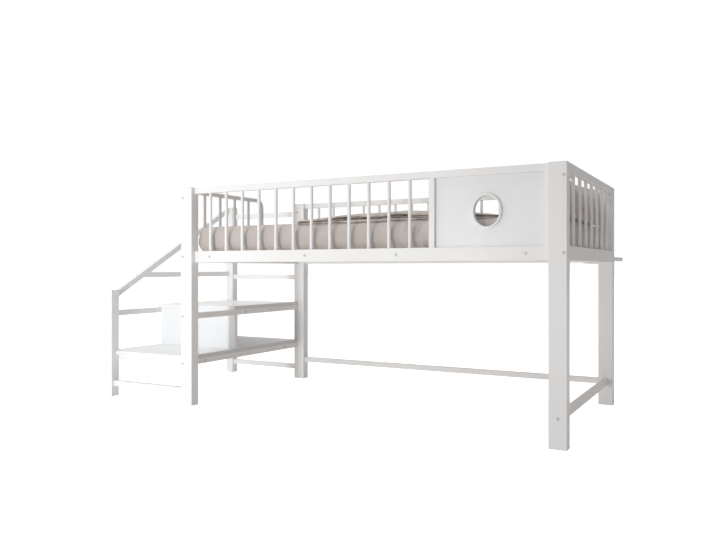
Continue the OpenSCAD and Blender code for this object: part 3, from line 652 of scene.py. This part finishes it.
def weld_rings(name, middles, radius, level, upward, reach):
    """Weld round each upright bar where it meets a rail.

    The profile is a hollow fillet: its outline runs along the bar, then down a quarter circle whose centre
    lies outside the corner, to the rail. It is carried round each bar, and its width changes a little with
    the angle, as a weld's does. Its back is sunk into the bar and the rail, so no gap shows.
    """
    in_bar, in_rail = 0.0008, 0.0002
    turn = np.linspace(0, 2 * np.pi, 28, endpoint=False)[None, :, None]
    arc = np.linspace(np.pi / 2, 0, 6)
    out = np.concatenate([[-in_bar], reach * (1 - np.sin(arc)), [reach, -in_bar]])
    up = np.concatenate([[reach], reach * (1 - np.cos(arc)), [-in_rail, -in_rail]])
    bar = np.arange(len(middles))[:, None, None]
    distance = radius + out * (1 + 0.10 * np.sin(5 * turn + 3 * bar))
    ring = np.stack([
        middles[bar, 0] + distance * np.cos(turn),
        middles[bar, 1] + distance * np.sin(turn),
        np.broadcast_to(level + up * (1 if upward else -1), distance.shape)], -1)
    rows, cols = ring.shape[1:3]
    faces = (looped_quads(rows, cols)[None] + bar * rows * cols).reshape(-1, 4)
    return build_piece(name, ring.reshape(-1, 3), [faces])


class LOFTBED_OT_make_welds(bpy.types.Operator):
    """Lays the welds where the spindles meet their rails. The foot end's spindles run into a bent tube above."""

    bl_idname = "loftbed.make_welds"
    bl_label = "Make the welds"

    def execute(self, context):
        look = context.scene.loft_bed_finish
        paint = bpy.data.materials["satin_powder_coat"]
        for guard in ("front", "back", "head", "foot"):
            middles, radius, low, high = upright_middles(guard + "_spindles")
            ends = [("_low_welds", low, True), ("_high_welds", high, False)]
            for end, level, upward in ends[:1] if guard == "foot" else ends:
                dress(weld_rings(guard + end, middles, radius, level, upward, look.weld), paint)
        return {"FINISHED"}


class LOFTBED_OT_make_porthole_ring(bpy.types.Operator):
    """Turns the smooth ring round the porthole.

    Its section is a square with round corners: sine and cosine of the turn, each to a power under one with its
    sign kept. It is carried round an ellipse that fills the CAD ring's box.
    """

    bl_idname = "loftbed.make_porthole_ring"
    bl_label = "Make the porthole's ring"

    def execute(self, context):
        lo, hi = box_of("porthole_ring")
        middle, half = (lo + hi) / 2, (hi - lo) / 2
        width, power = 0.008, 0.42
        turn = np.linspace(0, 2 * np.pi, 192, endpoint=False)[:, None]
        around = np.linspace(0, 2 * np.pi, 40, endpoint=False)[None]

        def squared(wave):
            return np.sign(wave) * np.abs(wave) ** power

        across = width / 2 * squared(np.cos(around)) - width / 2
        grid = np.stack([
            middle[0] + (half[0] + across) * np.cos(turn),
            middle[1] + half[1] * squared(np.sin(around)) + 0 * turn,
            middle[2] + (half[2] + across) * np.sin(turn)], -1)
        ring = build_piece("porthole_trim", grid.reshape(-1, 3), [looped_quads(*grid.shape[:2])])
        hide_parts("porthole_ring")
        dress(ring, bpy.data.materials["satin_board_lacquer"])
        return {"FINISHED"}


# ---------------------------------------------------------------- bedding

MATTRESS_CROWN = 0.007    # rise of the top's middle over its sides
MATTRESS_EDGE = 0.064    # reach of the rounded edge, from the outline inwards
EDGE_POWER = 2.3    # at 2 the edge is round, and above it is fuller


def mattress_top(x, y):
    """Height of the mattress's top: its edge height and a crown that is a cosine along times one across."""
    lo, hi = box_of("mattress")
    middle, size = (lo + hi) / 2, hi - lo
    return hi[2] - MATTRESS_CROWN + MATTRESS_CROWN * np.cos(np.pi * (x - middle[0]) / size[0]) * np.cos(
        np.pi * (y - middle[1]) / size[1])


def rounding(share):
    """Share of its radius that the mattress's edge is drawn in, at a share of the way up or along it.

    The share to EDGE_POWER, and one minus the result to EDGE_POWER, add up to one: a corner that is a little
    fuller than a quarter circle.
    """
    return 1 - (1 - share ** EDGE_POWER) ** (1 / EDGE_POWER)


def edge_drop(distance, thick):
    """How far the mattress's rounded edge lies below its top, at a distance inwards from its outline."""
    return thick * rounding(np.clip(1 - distance / MATTRESS_EDGE, 0, 1)) / 2


def edge_distance(x, y, lo, hi):
    """Distance from the nearest side of a box, seen from above."""
    return np.minimum(np.minimum(x - lo[0], hi[0] - x), np.minimum(y - lo[1], hi[1] - y))


def bell(distance, width, power=2):
    """A bell curve, or with a higher power a flatter one with steeper sides."""
    return np.exp(-(distance / width) ** power)


def fold_table(outline, normal, along, depth, seed):
    """Folds of the mattress's sheet: loose ones all round, gathers at the corners, pulls near the head end."""
    rng = np.random.default_rng(seed)
    total, count = along[-1], 34
    loose = np.stack([
        rng.uniform(0, total, count), rng.uniform(0.010, 0.022, count), rng.uniform(-0.05, 0.05, count),
        rng.uniform(-0.45, 0.5, count) * depth, rng.uniform(0.2, 0.9, count)], -1)
    tight = np.abs(normal).min(1) > 0.25
    starts, count = along[:-1][tight], 22
    gathers = np.stack([
        rng.choice(starts, count), rng.uniform(0.006, 0.010, count), rng.uniform(-0.03, 0.03, count),
        rng.uniform(-0.9, 0.2, count) * depth, rng.uniform(0.5, 1.0, count)], -1)
    front, count = normal[:, 1] < -0.9, 13
    at = np.interp(rng.uniform(0.14, 0.46, count), outline[front, 0], along[:-1][front])
    pulls = np.stack([
        at, rng.uniform(0.007, 0.011, count), rng.uniform(-0.025, 0.025, count),
        rng.choice([-2.0, 1.4, 1.8], count) * depth, rng.uniform(0.2, 0.9, count)], -1)
    return np.concatenate([loose, gathers, pulls])


class LOFTBED_OT_make_mattress(bpy.types.Operator):
    """Makes the mattress in its fitted linen sheet.

    Its rings run from the underside over the side to the top. On the side the levels follow half a cosine, and
    the outline draws in by the edge's rounding and swells by a parabola of the height. There the folds, a hem at
    the foot and two crumples move the cloth in and out. The top is mattress_top with shallow dips.
    """

    bl_idname = "loftbed.make_mattress"
    bl_label = "Make the mattress"

    def execute(self, context):
        look = context.scene.loft_bed_bedding
        lo, hi = box_of("mattress")
        middle, size = (lo + hi) / 2, hi - lo
        bulge, levels, corner, pull, points = 0.005, 36, 0.055, 0.004, 1100
        thick = size[2] - MATTRESS_CROWN
        outline, normal, along, drawn = soft_outline(size[0], size[1], corner, pull, points)
        height = 0.5 * (1 - np.cos(np.pi * (np.arange(levels) + 0.5) / levels))
        inset = MATTRESS_EDGE * rounding(np.abs(2 * height - 1))
        low_share = np.array([0.25, 0.6, 0.85, 0.94, 0.975])
        top_share = np.concatenate([[0.985, 0.97, 0.95], np.linspace(0.93, 0.02, 34)])
        counts = len(low_share), len(top_share)
        share = ring_column(counts, low_share, np.ones(levels), top_share)
        height = ring_column(counts, 0, height, 1)
        inset = ring_column(counts, MATTRESS_EDGE, inset, MATTRESS_EDGE)
        s = np.broadcast_to(along[:-1], (len(share), len(outline)))
        h = np.broadcast_to(height, s.shape)
        folds = creases(s, h, along[-1], fold_table(outline, normal, along, look.fold, 7))
        hem = 0.0012 * np.sin(2 * np.pi * s / 0.034 + 2.5 * np.sin(s * 9)) * bell(h, 0.10)
        small = 0.00045 * crumple(s, h * thick, 3, 14, 0.02, 0.07)
        broad = 0.0035 * crumple(s, 1.4 * h * thick, 29, 12, 0.08, 0.24)
        out = bulge * drawn * (1 - (2 * h - 1) ** 2) + (folds + small + broad) * np.sin(np.pi * h) ** 0.35 + hem
        plan = (outline[None] - normal[None] * (inset - (share == 1) * out)[..., None]) * share[..., None]
        x, y = plan[..., 0] + middle[0], plan[..., 1] + middle[1]
        dips = 0.0018 * (0.5 + 0.5 * crumple(x, y, 11, 12, 0.05, 0.22)) * (share < 1) * (h > 0.5)
        z = lo[2] + thick * h + smooth_step(0.5, 1.0, h) * (mattress_top(x, y) - (hi[2] - MATTRESS_CROWN)) - dips
        piece = ringed_piece("mattress_in_sheet", np.stack([x, y, z], -1), along, share)
        dress(piece, cloth_material(
            "sheet_linen", look.sheet, (0.96, 0.94, 0.915), look.thread, 0.0005))
        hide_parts("mattress")
        return {"FINISHED"}


# Rim of the folded cover, from its underside to its top: distance inwards from the outline in metres, and
# share of the cover's thickness. It is a bottom sheet, a gap, a thin middle fold, a gap, and the full upper fold.
COVER_RIM = np.array([
    (0.100, 0.00), (0.050, 0.00), (0.020, 0.00), (0.008, 0.01), (0.003, 0.04), (0.0005, 0.09), (-0.0005, 0.15),
    (0.0005, 0.21), (0.003, 0.255), (0.008, 0.285), (0.020, 0.30), (0.045, 0.31), (0.056, 0.345), (0.057, 0.385),
    (0.045, 0.43), (0.020, 0.445), (0.009, 0.455), (0.004, 0.47), (0.003, 0.49), (0.004, 0.51), (0.009, 0.525),
    (0.020, 0.53), (0.045, 0.54), (0.056, 0.575), (0.054, 0.62), (0.040, 0.655), (0.016, 0.665), (0.006, 0.68),
    (0.002, 0.70), (-0.001, 0.745), (-0.0015, 0.80), (0.0, 0.87), (0.004, 0.935), (0.010, 0.975), (0.018, 0.995),
])

# The rim's two gaps: where each is open along the cover (middle and half width, as shares of its length), how far
# it closes elsewhere and over which levels, and how far it opens, with the levels where that begins and ends.
COVER_GAPS = (
    (((0.06, 0.04), (0.36, 0.07), (0.80, 0.05)), 0.125, (0.31, 0.44), 0.10, (0.33, 0.43), (0.50, 0.58)),
    (((0.25, 0.06), (0.55, 0.065), (0.88, 0.04)), 0.12, (0.54, 0.66), 0.12, (0.57, 0.655), (0.70, 0.90)),
)


def gap_opening(u, places):
    """How far a gap is open, from 0.1 to 1: a bell curve round each open place."""
    bells = sum(bell(u - middle, half, 4) for middle, half in places)
    return 0.1 + 0.9 * np.clip(bells, 0, 1)


def cover_hump(u):
    """Thickness of the folded cover along the bed: a sine to the power 0.8 over a thin edge."""
    return 0.009 + 0.033 * np.sin(np.pi * np.clip(u, 0, 1)) ** 0.8


class LOFTBED_OT_make_cover(bpy.types.Operator):
    """Makes the folded cover on the mattress.

    Its rings run from the underside over the rim to the top. The rim's section is COVER_RIM, scaled to the cover's
    thickness there, and each of its layers sways in and out along the outline by two sines. The two gaps close
    except at their open places. The top is the hump with folds (a product of sines), ridges (crumples) and the
    groove of a seam. The rim passes into the top by a smooth step, and droops over the mattress's rounded edge.
    """

    bl_idname = "loftbed.make_cover"
    bl_label = "Make the cover"

    def execute(self, context):
        look = context.scene.loft_bed_bedding
        lo, hi = box_of("bed_cover")
        middle, size = (lo + hi) / 2, hi - lo
        corner, pull, points, clear = 0.028, 0.005, 900, 0.0006
        outline, normal, along, _ = soft_outline(size[0], size[1], corner, pull, points)
        low_share = np.array([0.3, 0.75])
        top_share = np.concatenate([[0.985, 0.97, 0.955], np.linspace(0.94, 0.02, 52)])
        counts = len(low_share), len(top_share)
        rim_inset, rim_level = COVER_RIM.T
        share = ring_column(counts, low_share, np.ones(len(COVER_RIM)), top_share)
        inset = ring_column(counts, rim_inset[0], rim_inset, rim_inset[-1])
        level = ring_column(counts, 0, rim_level, 1)
        s = np.broadcast_to(along[:-1], (len(share), len(outline)))
        thick = 0.85 * cover_hump((outline[None, :, 0] + size[0] / 2) / size[0])
        layer = np.where(level > 0.60, 2.0, np.where(level > 0.38, 1.0, 0.0))
        sway = 0.0050 * np.sin(s * 13 + 2.1 * layer) + 0.0030 * np.sin(s * 41 + 4.0 * layer + 1.0)
        inset = (inset + sway * (share >= 1)) * np.minimum(1, thick / 0.024)
        plan = (outline[None] - normal[None] * inset[..., None]) * share[..., None]
        x, y = plan[..., 0] + middle[0], plan[..., 1] + middle[1]
        u, v = (x - lo[0]) / size[0], (y - lo[1]) / size[1]
        inner = np.clip(np.minimum(12 * np.minimum(u, 1 - u), 7 * np.minimum(v, 1 - v)), 0, 1)
        fold = 0.0025 + 0.0025 * np.sin(np.radians(400 * u + 120 * v)) * np.cos(np.radians(210 * u - 260 * v + 40))
        ridges = 0.0036 * crumple(x * 1.6, y * 0.5, 21, 9, 0.07, 0.22) + 0.0009 * crumple(x, y, 5, 16, 0.03, 0.08)
        seam = -0.0012 * bell(edge_distance(x, y, lo, hi) - 0.030, 0.003)
        crest = cover_hump(u) * (0.85 + 0.15 * inner) + (fold + ridges) * inner + seam * (level >= 1)
        closing = opening = 0
        for places, most_closed, closes, most_open, begins, ends in COVER_GAPS:
            gap = gap_opening(u, places)
            closing = closing + most_closed * (1 - gap) * smooth_step(*closes, level)
            opening = opening + most_open * gap * smooth_step(*begins, level) * (1 - smooth_step(*ends, level))
        body = level + opening - closing * (1 - smooth_step(0.66, 1.0, level))
        body = thick * body * (1 + 0.06 * np.sin(s * 23 + 1.3))
        blend = smooth_step(1.0, 0.955, share) * (level >= 1)
        lift = np.where(level < 1, body, body * (1 - blend) + crest * blend)
        under_lo, under_hi = box_of("mattress")
        edge = edge_distance(x, y, under_lo, under_hi)
        droop = edge_drop(edge, under_hi[2] - under_lo[2] - MATTRESS_CROWN) * (1 - level) ** 1.5
        z = mattress_top(x, y) + clear + lift - droop
        piece = ringed_piece("folded_cover", np.stack([x, y, z], -1), along, share)
        dress(piece, cloth_material(
            "cover_linen_cloth", look.cover, (0.94, 0.89, 0.84), look.thread * 1.15, 0.0006))
        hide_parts("bed_cover")
        return {"FINISHED"}


def pillow_height(x, outline, share, size, upper):
    """Height of the pillow over its lowest point, at a share of the way from its middle to its outline.

    The seam rises with the lean (0 at the foot-end seam, 1 at the head end) to the power 1.5. The top is half
    its full height and the other half times a sine of the lean. Between them the form is the square root of
    one minus the share to a power, which grows towards the ends and the head end, so they are fuller. The
    underside rises to the seam in the same way, and is flat elsewhere.
    """
    lean = np.clip(0.5 + x / size[0], 0, 1)
    end = np.abs(2 * outline[:, 1] / size[1]) ** 6
    head = np.maximum(0, 2 * outline[:, 0] / size[0]) ** 4
    full = np.sqrt(np.maximum(0, 1 - share ** (4 + 10 * head + 16 * end)))
    seam = (0.010 + 0.038 * lean ** 1.5) * (1 - 0.6 * end)
    top = size[2] * (0.5 + 0.5 * np.sin(np.pi / 2 * np.minimum(1, 1.3 * lean)))
    return np.where(upper, seam + (top - seam) * full, seam * (1 - np.minimum(1, 1.6 * full)))


def boxed_uv(mesh):
    """UV in metres of cloth, with each face seen along the axis that it faces most.

    The sides carry on from the top by adding their depth. The top counts 1.3 times, so it reaches over the edge.
    """
    sizes = read_rows(mesh.polygons, "loop_total", 1, np.int32)
    place = read_rows(mesh.vertices, "co")[read_rows(mesh.loops, "vertex_index", 1, np.int32)]
    facing = read_rows(mesh.polygons, "normal")
    most = np.repeat(np.abs(facing * (1.0, 1.0, 1.3)).argmax(1), sizes)
    u = place[:, 0] - np.where(most == 0, place[:, 2], 0)
    v = place[:, 1] - np.where(most == 1, place[:, 2], 0)
    for layer in list(mesh.uv_layers):
        mesh.uv_layers.remove(layer)
    uv = np.stack([u, v], -1).astype(np.float32)
    mesh.uv_layers.new(name="cloth").uv.foreach_set("vector", uv.ravel())


CLOTH = {
    "quality": 6, "mass": 0.25, "use_pressure": True, "uniform_pressure_force": 4.0, "tension_stiffness": 12.0,
    "compression_stiffness": 12.0, "shear_stiffness": 4.0, "bending_stiffness": 0.4, "vertex_group_mass": "held",
}
CLOTH_FRAMES = 20
HELD_REACH = 0.006    # points nearer than this to the seam are held


def swell_cloth(piece, from_seam, swell):
    """Runs the cloth with air in it, and keeps no point farther than swell from its start.

    Points near the seam are held, so the cloth pulls in creases from it.
    """
    start = read_rows(piece.data.vertices, "co")
    held = piece.vertex_groups.new(name=CLOTH["vertex_group_mass"])
    held.add(np.flatnonzero(from_seam < HELD_REACH).tolist(), 1.0, "REPLACE")
    cloth = piece.modifiers.new("cloth", "CLOTH")
    for name, value in CLOTH.items():
        setattr(cloth.settings, name, value)
    cloth.settings.effector_weights.gravity = 0.0
    cloth.collision_settings.use_collision = False
    scene = bpy.context.scene
    for number in range(1, CLOTH_FRAMES + 1):
        scene.frame_set(number)
    settled = piece.evaluated_get(bpy.context.evaluated_depsgraph_get())
    moved = read_rows(settled.data.vertices, "co") - start
    far = np.linalg.norm(moved, axis=1)[:, None]
    piece.modifiers.remove(cloth)
    piece.vertex_groups.clear()
    scene.frame_set(1)
    placed = start + moved * np.minimum(1, swell / np.maximum(far, 1e-9))
    piece.data.vertices.foreach_set("co", placed.ravel())
    piece.data.update()


def finish_modifiers(piece):
    """Applies all live modifiers of a piece."""
    made = bpy.data.meshes.new_from_object(piece.evaluated_get(bpy.context.evaluated_depsgraph_get()))
    piece.modifiers.clear()
    old, piece.data = piece.data, made
    bpy.data.meshes.remove(old)


class LOFTBED_OT_make_pillow(bpy.types.Operator):
    """Makes the pillow against the head end, with its piping.

    A slim form after pillow_height is remeshed and swollen as cloth. Then puckers (a sine of the direction from
    the middle, fading from the seam), dents and drags (crumples) move its upper cloth along its normals.
    """

    bl_idname = "loftbed.make_pillow"
    bl_label = "Make the pillow"

    def execute(self, context):
        look = context.scene.loft_bed_bedding
        lo, hi = box_of("pillow")
        corner, pull, points, rings, voxel = 0.045, 0.014, 360, 30, 0.0055
        size = np.array([0.268, hi[1] - lo[1], 0.192])
        outline, normal, along, _ = soft_outline(size[0], size[1], corner, pull, points)
        share = np.sin(np.linspace(0.0, np.pi / 2, rings))[1:]
        upper = np.arange(2 * len(share) - 1)[:, None] >= len(share)
        share = np.concatenate([share, share[-2::-1]])[:, None]

        def lay(line, height):
            plan = line[None] * share[..., None]
            rise = pillow_height(plan[..., 0], outline, share, (size[0], size[1], height), upper)
            return np.concatenate([plan, rise[..., None]], -1)

        form = lay(outline, size[2])
        shift = np.array([hi[0] - form[..., 0].max(), (lo[1] + hi[1]) / 2, lo[2] - form[..., 2].min()])
        seam_line = form[len(share) // 2] + shift
        slim = lay(outline - normal * 0.003, 0.94 * size[2]) + shift
        cols = np.broadcast_to(along[None], (len(share), len(along)))
        piece = closed_skin("pillow_in_case", slim, np.stack([cols, cols * 0], -1), np.ones(len(share) - 1, bool))
        remesh = piece.modifiers.new("remesh", "REMESH")
        remesh.mode, remesh.voxel_size = "VOXEL", voxel
        finish_modifiers(piece)

        def places():
            co = read_rows(piece.data.vertices, "co")
            return co, np.linalg.norm(co[:, None] - seam_line[None, ::3], axis=-1).min(1)

        co, from_seam = places()
        swell_cloth(piece, from_seam, look.swell)
        co, from_seam = places()
        turn = np.arctan2((co[:, 1] - shift[1]) / size[1], (co[:, 0] - shift[0]) / size[0])
        puckers = 0.0022 * np.sin(52 * turn + 3 * np.sin(7 * turn)) * bell(from_seam, 0.040)
        dents = 0.0032 * crumple(co[:, 0], co[:, 1] + 0.6 * co[:, 2], 17, 10, 0.06, 0.18)
        drags = 0.0020 * crumple(1.5 * co[:, 1], co[:, 2] + 0.4 * co[:, 0], 8, 9, 0.05, 0.12)
        gently = smooth_step(0.0, 0.03, from_seam)
        upper = smooth_step(lo[2] + 0.004, lo[2] + 0.03, co[:, 2])
        out = (puckers + (dents + drags) * gently) * upper
        placed = co + read_rows(piece.data.vertices, "normal") * out[:, None]
        placed[:, 2] = np.maximum(placed[:, 2], mattress_top(placed[:, 0], placed[:, 1]) + 0.0005)
        placed[:, 0] = np.minimum(placed[:, 0], hi[0] + 0.003)
        piece.data.vertices.foreach_set("co", placed.ravel())
        piece.data.update()
        soft = piece.modifiers.new("soft", "SUBSURF")
        soft.levels = soft.render_levels = 1
        finish_modifiers(piece)
        boxed_uv(piece.data)
        piece.data.polygons.foreach_set("use_smooth", np.ones(len(piece.data.polygons), bool))
        cloth = cloth_material("pillow_case_linen", look.pillow, (0.94, 0.90, 0.88), look.thread, 0.0005)
        dress(piece, cloth)
        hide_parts("pillow")
        dress(self.piping(seam_line, along, look.piping), cloth)
        return {"FINISHED"}

    def piping(self, line, along, radius):
        """A round cord along the seam: at each point of the line, a circle square to its direction.

        The circle's radius swells a little with the distance along, as a cord's twist does.
        """
        ahead = np.roll(line, -1, 0) - np.roll(line, 1, 0)
        ahead /= np.linalg.norm(ahead, axis=1)[:, None]
        side = np.cross(ahead, (0.0, 0.0, 1.0))
        side /= np.maximum(np.linalg.norm(side, axis=1), 1e-6)[:, None]
        up = np.cross(side, ahead)
        turn = np.linspace(0, 2 * np.pi, 14, endpoint=False)
        size = radius * (1 + 0.05 * np.sin(2 * np.pi * along[:-1] / 0.011))[:, None, None]
        grid = line[:, None] + size * (
            side[:, None] * np.cos(turn)[None, :, None] + up[:, None] * np.sin(turn)[None, :, None])
        run = np.stack(np.broadcast_arrays(along[:, None], radius * np.append(turn, 2 * np.pi)[None]), -1)
        return build_piece("pillow_piping", grid.reshape(-1, 3), [looped_quads(*grid.shape[:2])],
                           [quad_corners(run).reshape(-1, 4, 2)])


# ---------------------------------------------------------------- stage

PICTURE_WIDTH = 716
WHITE, WARM, COOL = (1.0, 1.0, 1.0, 1.0), (1.0, 0.975, 0.965, 1.0), (0.96, 0.99, 1.0)


class LOFTBED_OT_set_stage(bpy.types.Operator):
    """Lays the studio floor, sets the light, and places the camera where the picture was taken."""

    bl_idname = "loftbed.set_stage"
    bl_label = "Set the stage"

    def execute(self, context):
        look = context.scene.loft_bed_stage
        self.floor(look)
        self.sky(look)
        self.lamp("key_light", (-0.5, -4.6, 0.55), (-1.1, -0.5, 0.7), 0.2, 77, look.key)
        self.lamp("top_light", (-0.5, -0.6, 5.2), (0.0, 0.0, 0.8), 3.5, 180, look.top)
        self.camera(context.scene)
        return {"FINISHED"}

    def floor(self, look):
        """A wide sheet of pale paper, just under the feet. It glows, and looks white to the camera."""
        reach, steps, below = 60, 40, 0.0005
        side = np.linspace(-reach, reach, steps + 1)
        x, y = np.meshgrid(side, side, indexing="ij")
        i, j = np.meshgrid(np.arange(steps), np.arange(steps), indexing="ij")
        first = i * (steps + 1) + j
        quads = np.stack([first, first + steps + 1, first + steps + 2, first + 1], -1).reshape(-1, 4)
        floor = build_piece("studio_floor", np.stack([x, y, 0 * x - below], -1).reshape(-1, 3), [quads])
        material, tree, skin = new_material("studio_paper", Roughness=0.9, Emission_Color=WHITE)
        drift = use_group(tree, slow_drift, Scale=0.8, Specks=20.0)
        tone = blend_colour(tree, drift["Drift"], rgba(look.floor, 0.99), rgba(look.floor))
        tree.links.new(tone, skin["Base Color"])
        seen = put(tree, "ShaderNodeLightPath").outputs["Is Camera Ray"]
        tree.links.new(spread_value(tree, seen, 0.0, 1.0, look.glow, 0.95), skin["Emission Strength"])
        floor.data.materials.append(material)

    def sky(self, look):
        """White to the camera. To all else warm, and brightest from the stair's side, fading to nothing opposite."""
        world = bpy.data.worlds.new("white_studio")
        bpy.context.scene.world = world
        world.use_nodes = True
        tree = world.node_tree
        back = tree.nodes["Background"].inputs
        seen = put(tree, "ShaderNodeLightPath").outputs["Is Camera Ray"]
        tree.links.new(blend_colour(tree, seen, WARM, WHITE), back["Color"])
        way = put(tree, "ShaderNodeSeparateXYZ", {0: put(tree, "ShaderNodeTexCoord").outputs["Generated"]})
        lit = spread_value(tree, way.outputs[0], -1.0, 1.0, 2.0 * look.ambient, 0.0)
        shown = put(tree, "ShaderNodeMix", {0: seen, 2: lit, 3: 1.05}, data_type="FLOAT")
        tree.links.new(shown.outputs[0], back["Strength"])

    def lamp(self, name, place, target, size, spread, power):
        """A cool square lamp at place that looks at target and fans out over spread degrees, itself unseen."""
        lamp = bpy.data.lights.new(name, "AREA")
        lamp.size, lamp.spread, lamp.energy, lamp.color = size, math.radians(spread), power, COOL
        lit = bpy.data.objects.new(name, lamp)
        bpy.context.scene.collection.objects.link(lit)
        lit.visible_camera = False
        lit.location = place
        way = np.subtract(target, place)
        tilt, heading = math.acos(-way[2] / np.linalg.norm(way)), math.atan2(way[1], way[0]) - math.pi / 2
        lit.rotation_euler = (tilt, 0.0, heading)

    def camera(self, scene):
        """The camera that was solved from the picture: level, at 0.7 metres, with a small shift."""
        lens = bpy.data.cameras.new("camera")
        camera = bpy.data.objects.new("camera", lens)
        scene.collection.objects.link(camera)
        camera.location = (1.8936, -3.4202, 0.7054)
        camera.rotation_euler = (math.pi / 2, 0.0, 0.4904)
        lens.sensor_width, lens.lens = 36.0, 35.353
        lens.shift_x, lens.shift_y = -16 / PICTURE_WIDTH, -1.28 / PICTURE_WIDTH
        lens.clip_end = 500.0
        scene.camera = camera
        scene.view_settings.view_transform = "Standard"


# ---------------------------------------------------------------- panel and run

class LOFTBED_PT_sidebar(bpy.types.Panel):
    """Lists the steps and their settings."""

    bl_idname = "LOFTBED_PT_sidebar"
    bl_label = "Loft bed"
    bl_space_type = "VIEW_3D"
    bl_region_type = "UI"
    bl_category = "Loft bed"

    def draw(self, context):
        for title, settings, steps in (
            ("Hard parts", context.scene.loft_bed_finish, HARD_STEPS),
            ("Bedding", context.scene.loft_bed_bedding, SOFT_STEPS),
            ("Stage", context.scene.loft_bed_stage, STAGE_STEPS),
        ):
            part = self.layout.box()
            part.label(text=title)
            for name in type(settings).__annotations__:
                part.prop(settings, name)
            for step in steps:
                part.operator(step.bl_idname)


HARD_STEPS = (LOFTBED_OT_paint_steel, LOFTBED_OT_lacquer_boards, LOFTBED_OT_finish_fittings,
              LOFTBED_OT_finish_slats, LOFTBED_OT_make_welds, LOFTBED_OT_make_porthole_ring)
SOFT_STEPS = (LOFTBED_OT_make_mattress, LOFTBED_OT_make_cover, LOFTBED_OT_make_pillow)
STAGE_STEPS = (LOFTBED_OT_set_stage,)
SETTINGS = (("loft_bed_finish", LoftBedFinish), ("loft_bed_bedding", LoftBedBedding),
            ("loft_bed_stage", LoftBedStage))


def register():
    for name, group in SETTINGS:
        bpy.utils.register_class(group)
        setattr(bpy.types.Scene, name, bpy.props.PointerProperty(type=group))
    for step in (*HARD_STEPS, *SOFT_STEPS, *STAGE_STEPS, LOFTBED_PT_sidebar):
        bpy.utils.register_class(step)


def unregister():
    for step in (LOFTBED_PT_sidebar, *STAGE_STEPS, *SOFT_STEPS, *HARD_STEPS):
        bpy.utils.unregister_class(step)
    for name, group in reversed(SETTINGS):
        delattr(bpy.types.Scene, name)
        bpy.utils.unregister_class(group)


def main():
    register()
    bpy.ops.loftbed.paint_steel()
    bpy.ops.loftbed.lacquer_boards()
    bpy.ops.loftbed.finish_fittings()
    bpy.ops.loftbed.finish_slats()
    bpy.ops.loftbed.make_welds()
    bpy.ops.loftbed.make_porthole_ring()
    bpy.ops.loftbed.make_mattress()
    bpy.ops.loftbed.make_cover()
    bpy.ops.loftbed.make_pillow()
    bpy.ops.loftbed.set_stage()


if __name__ == "__main__":
    main()
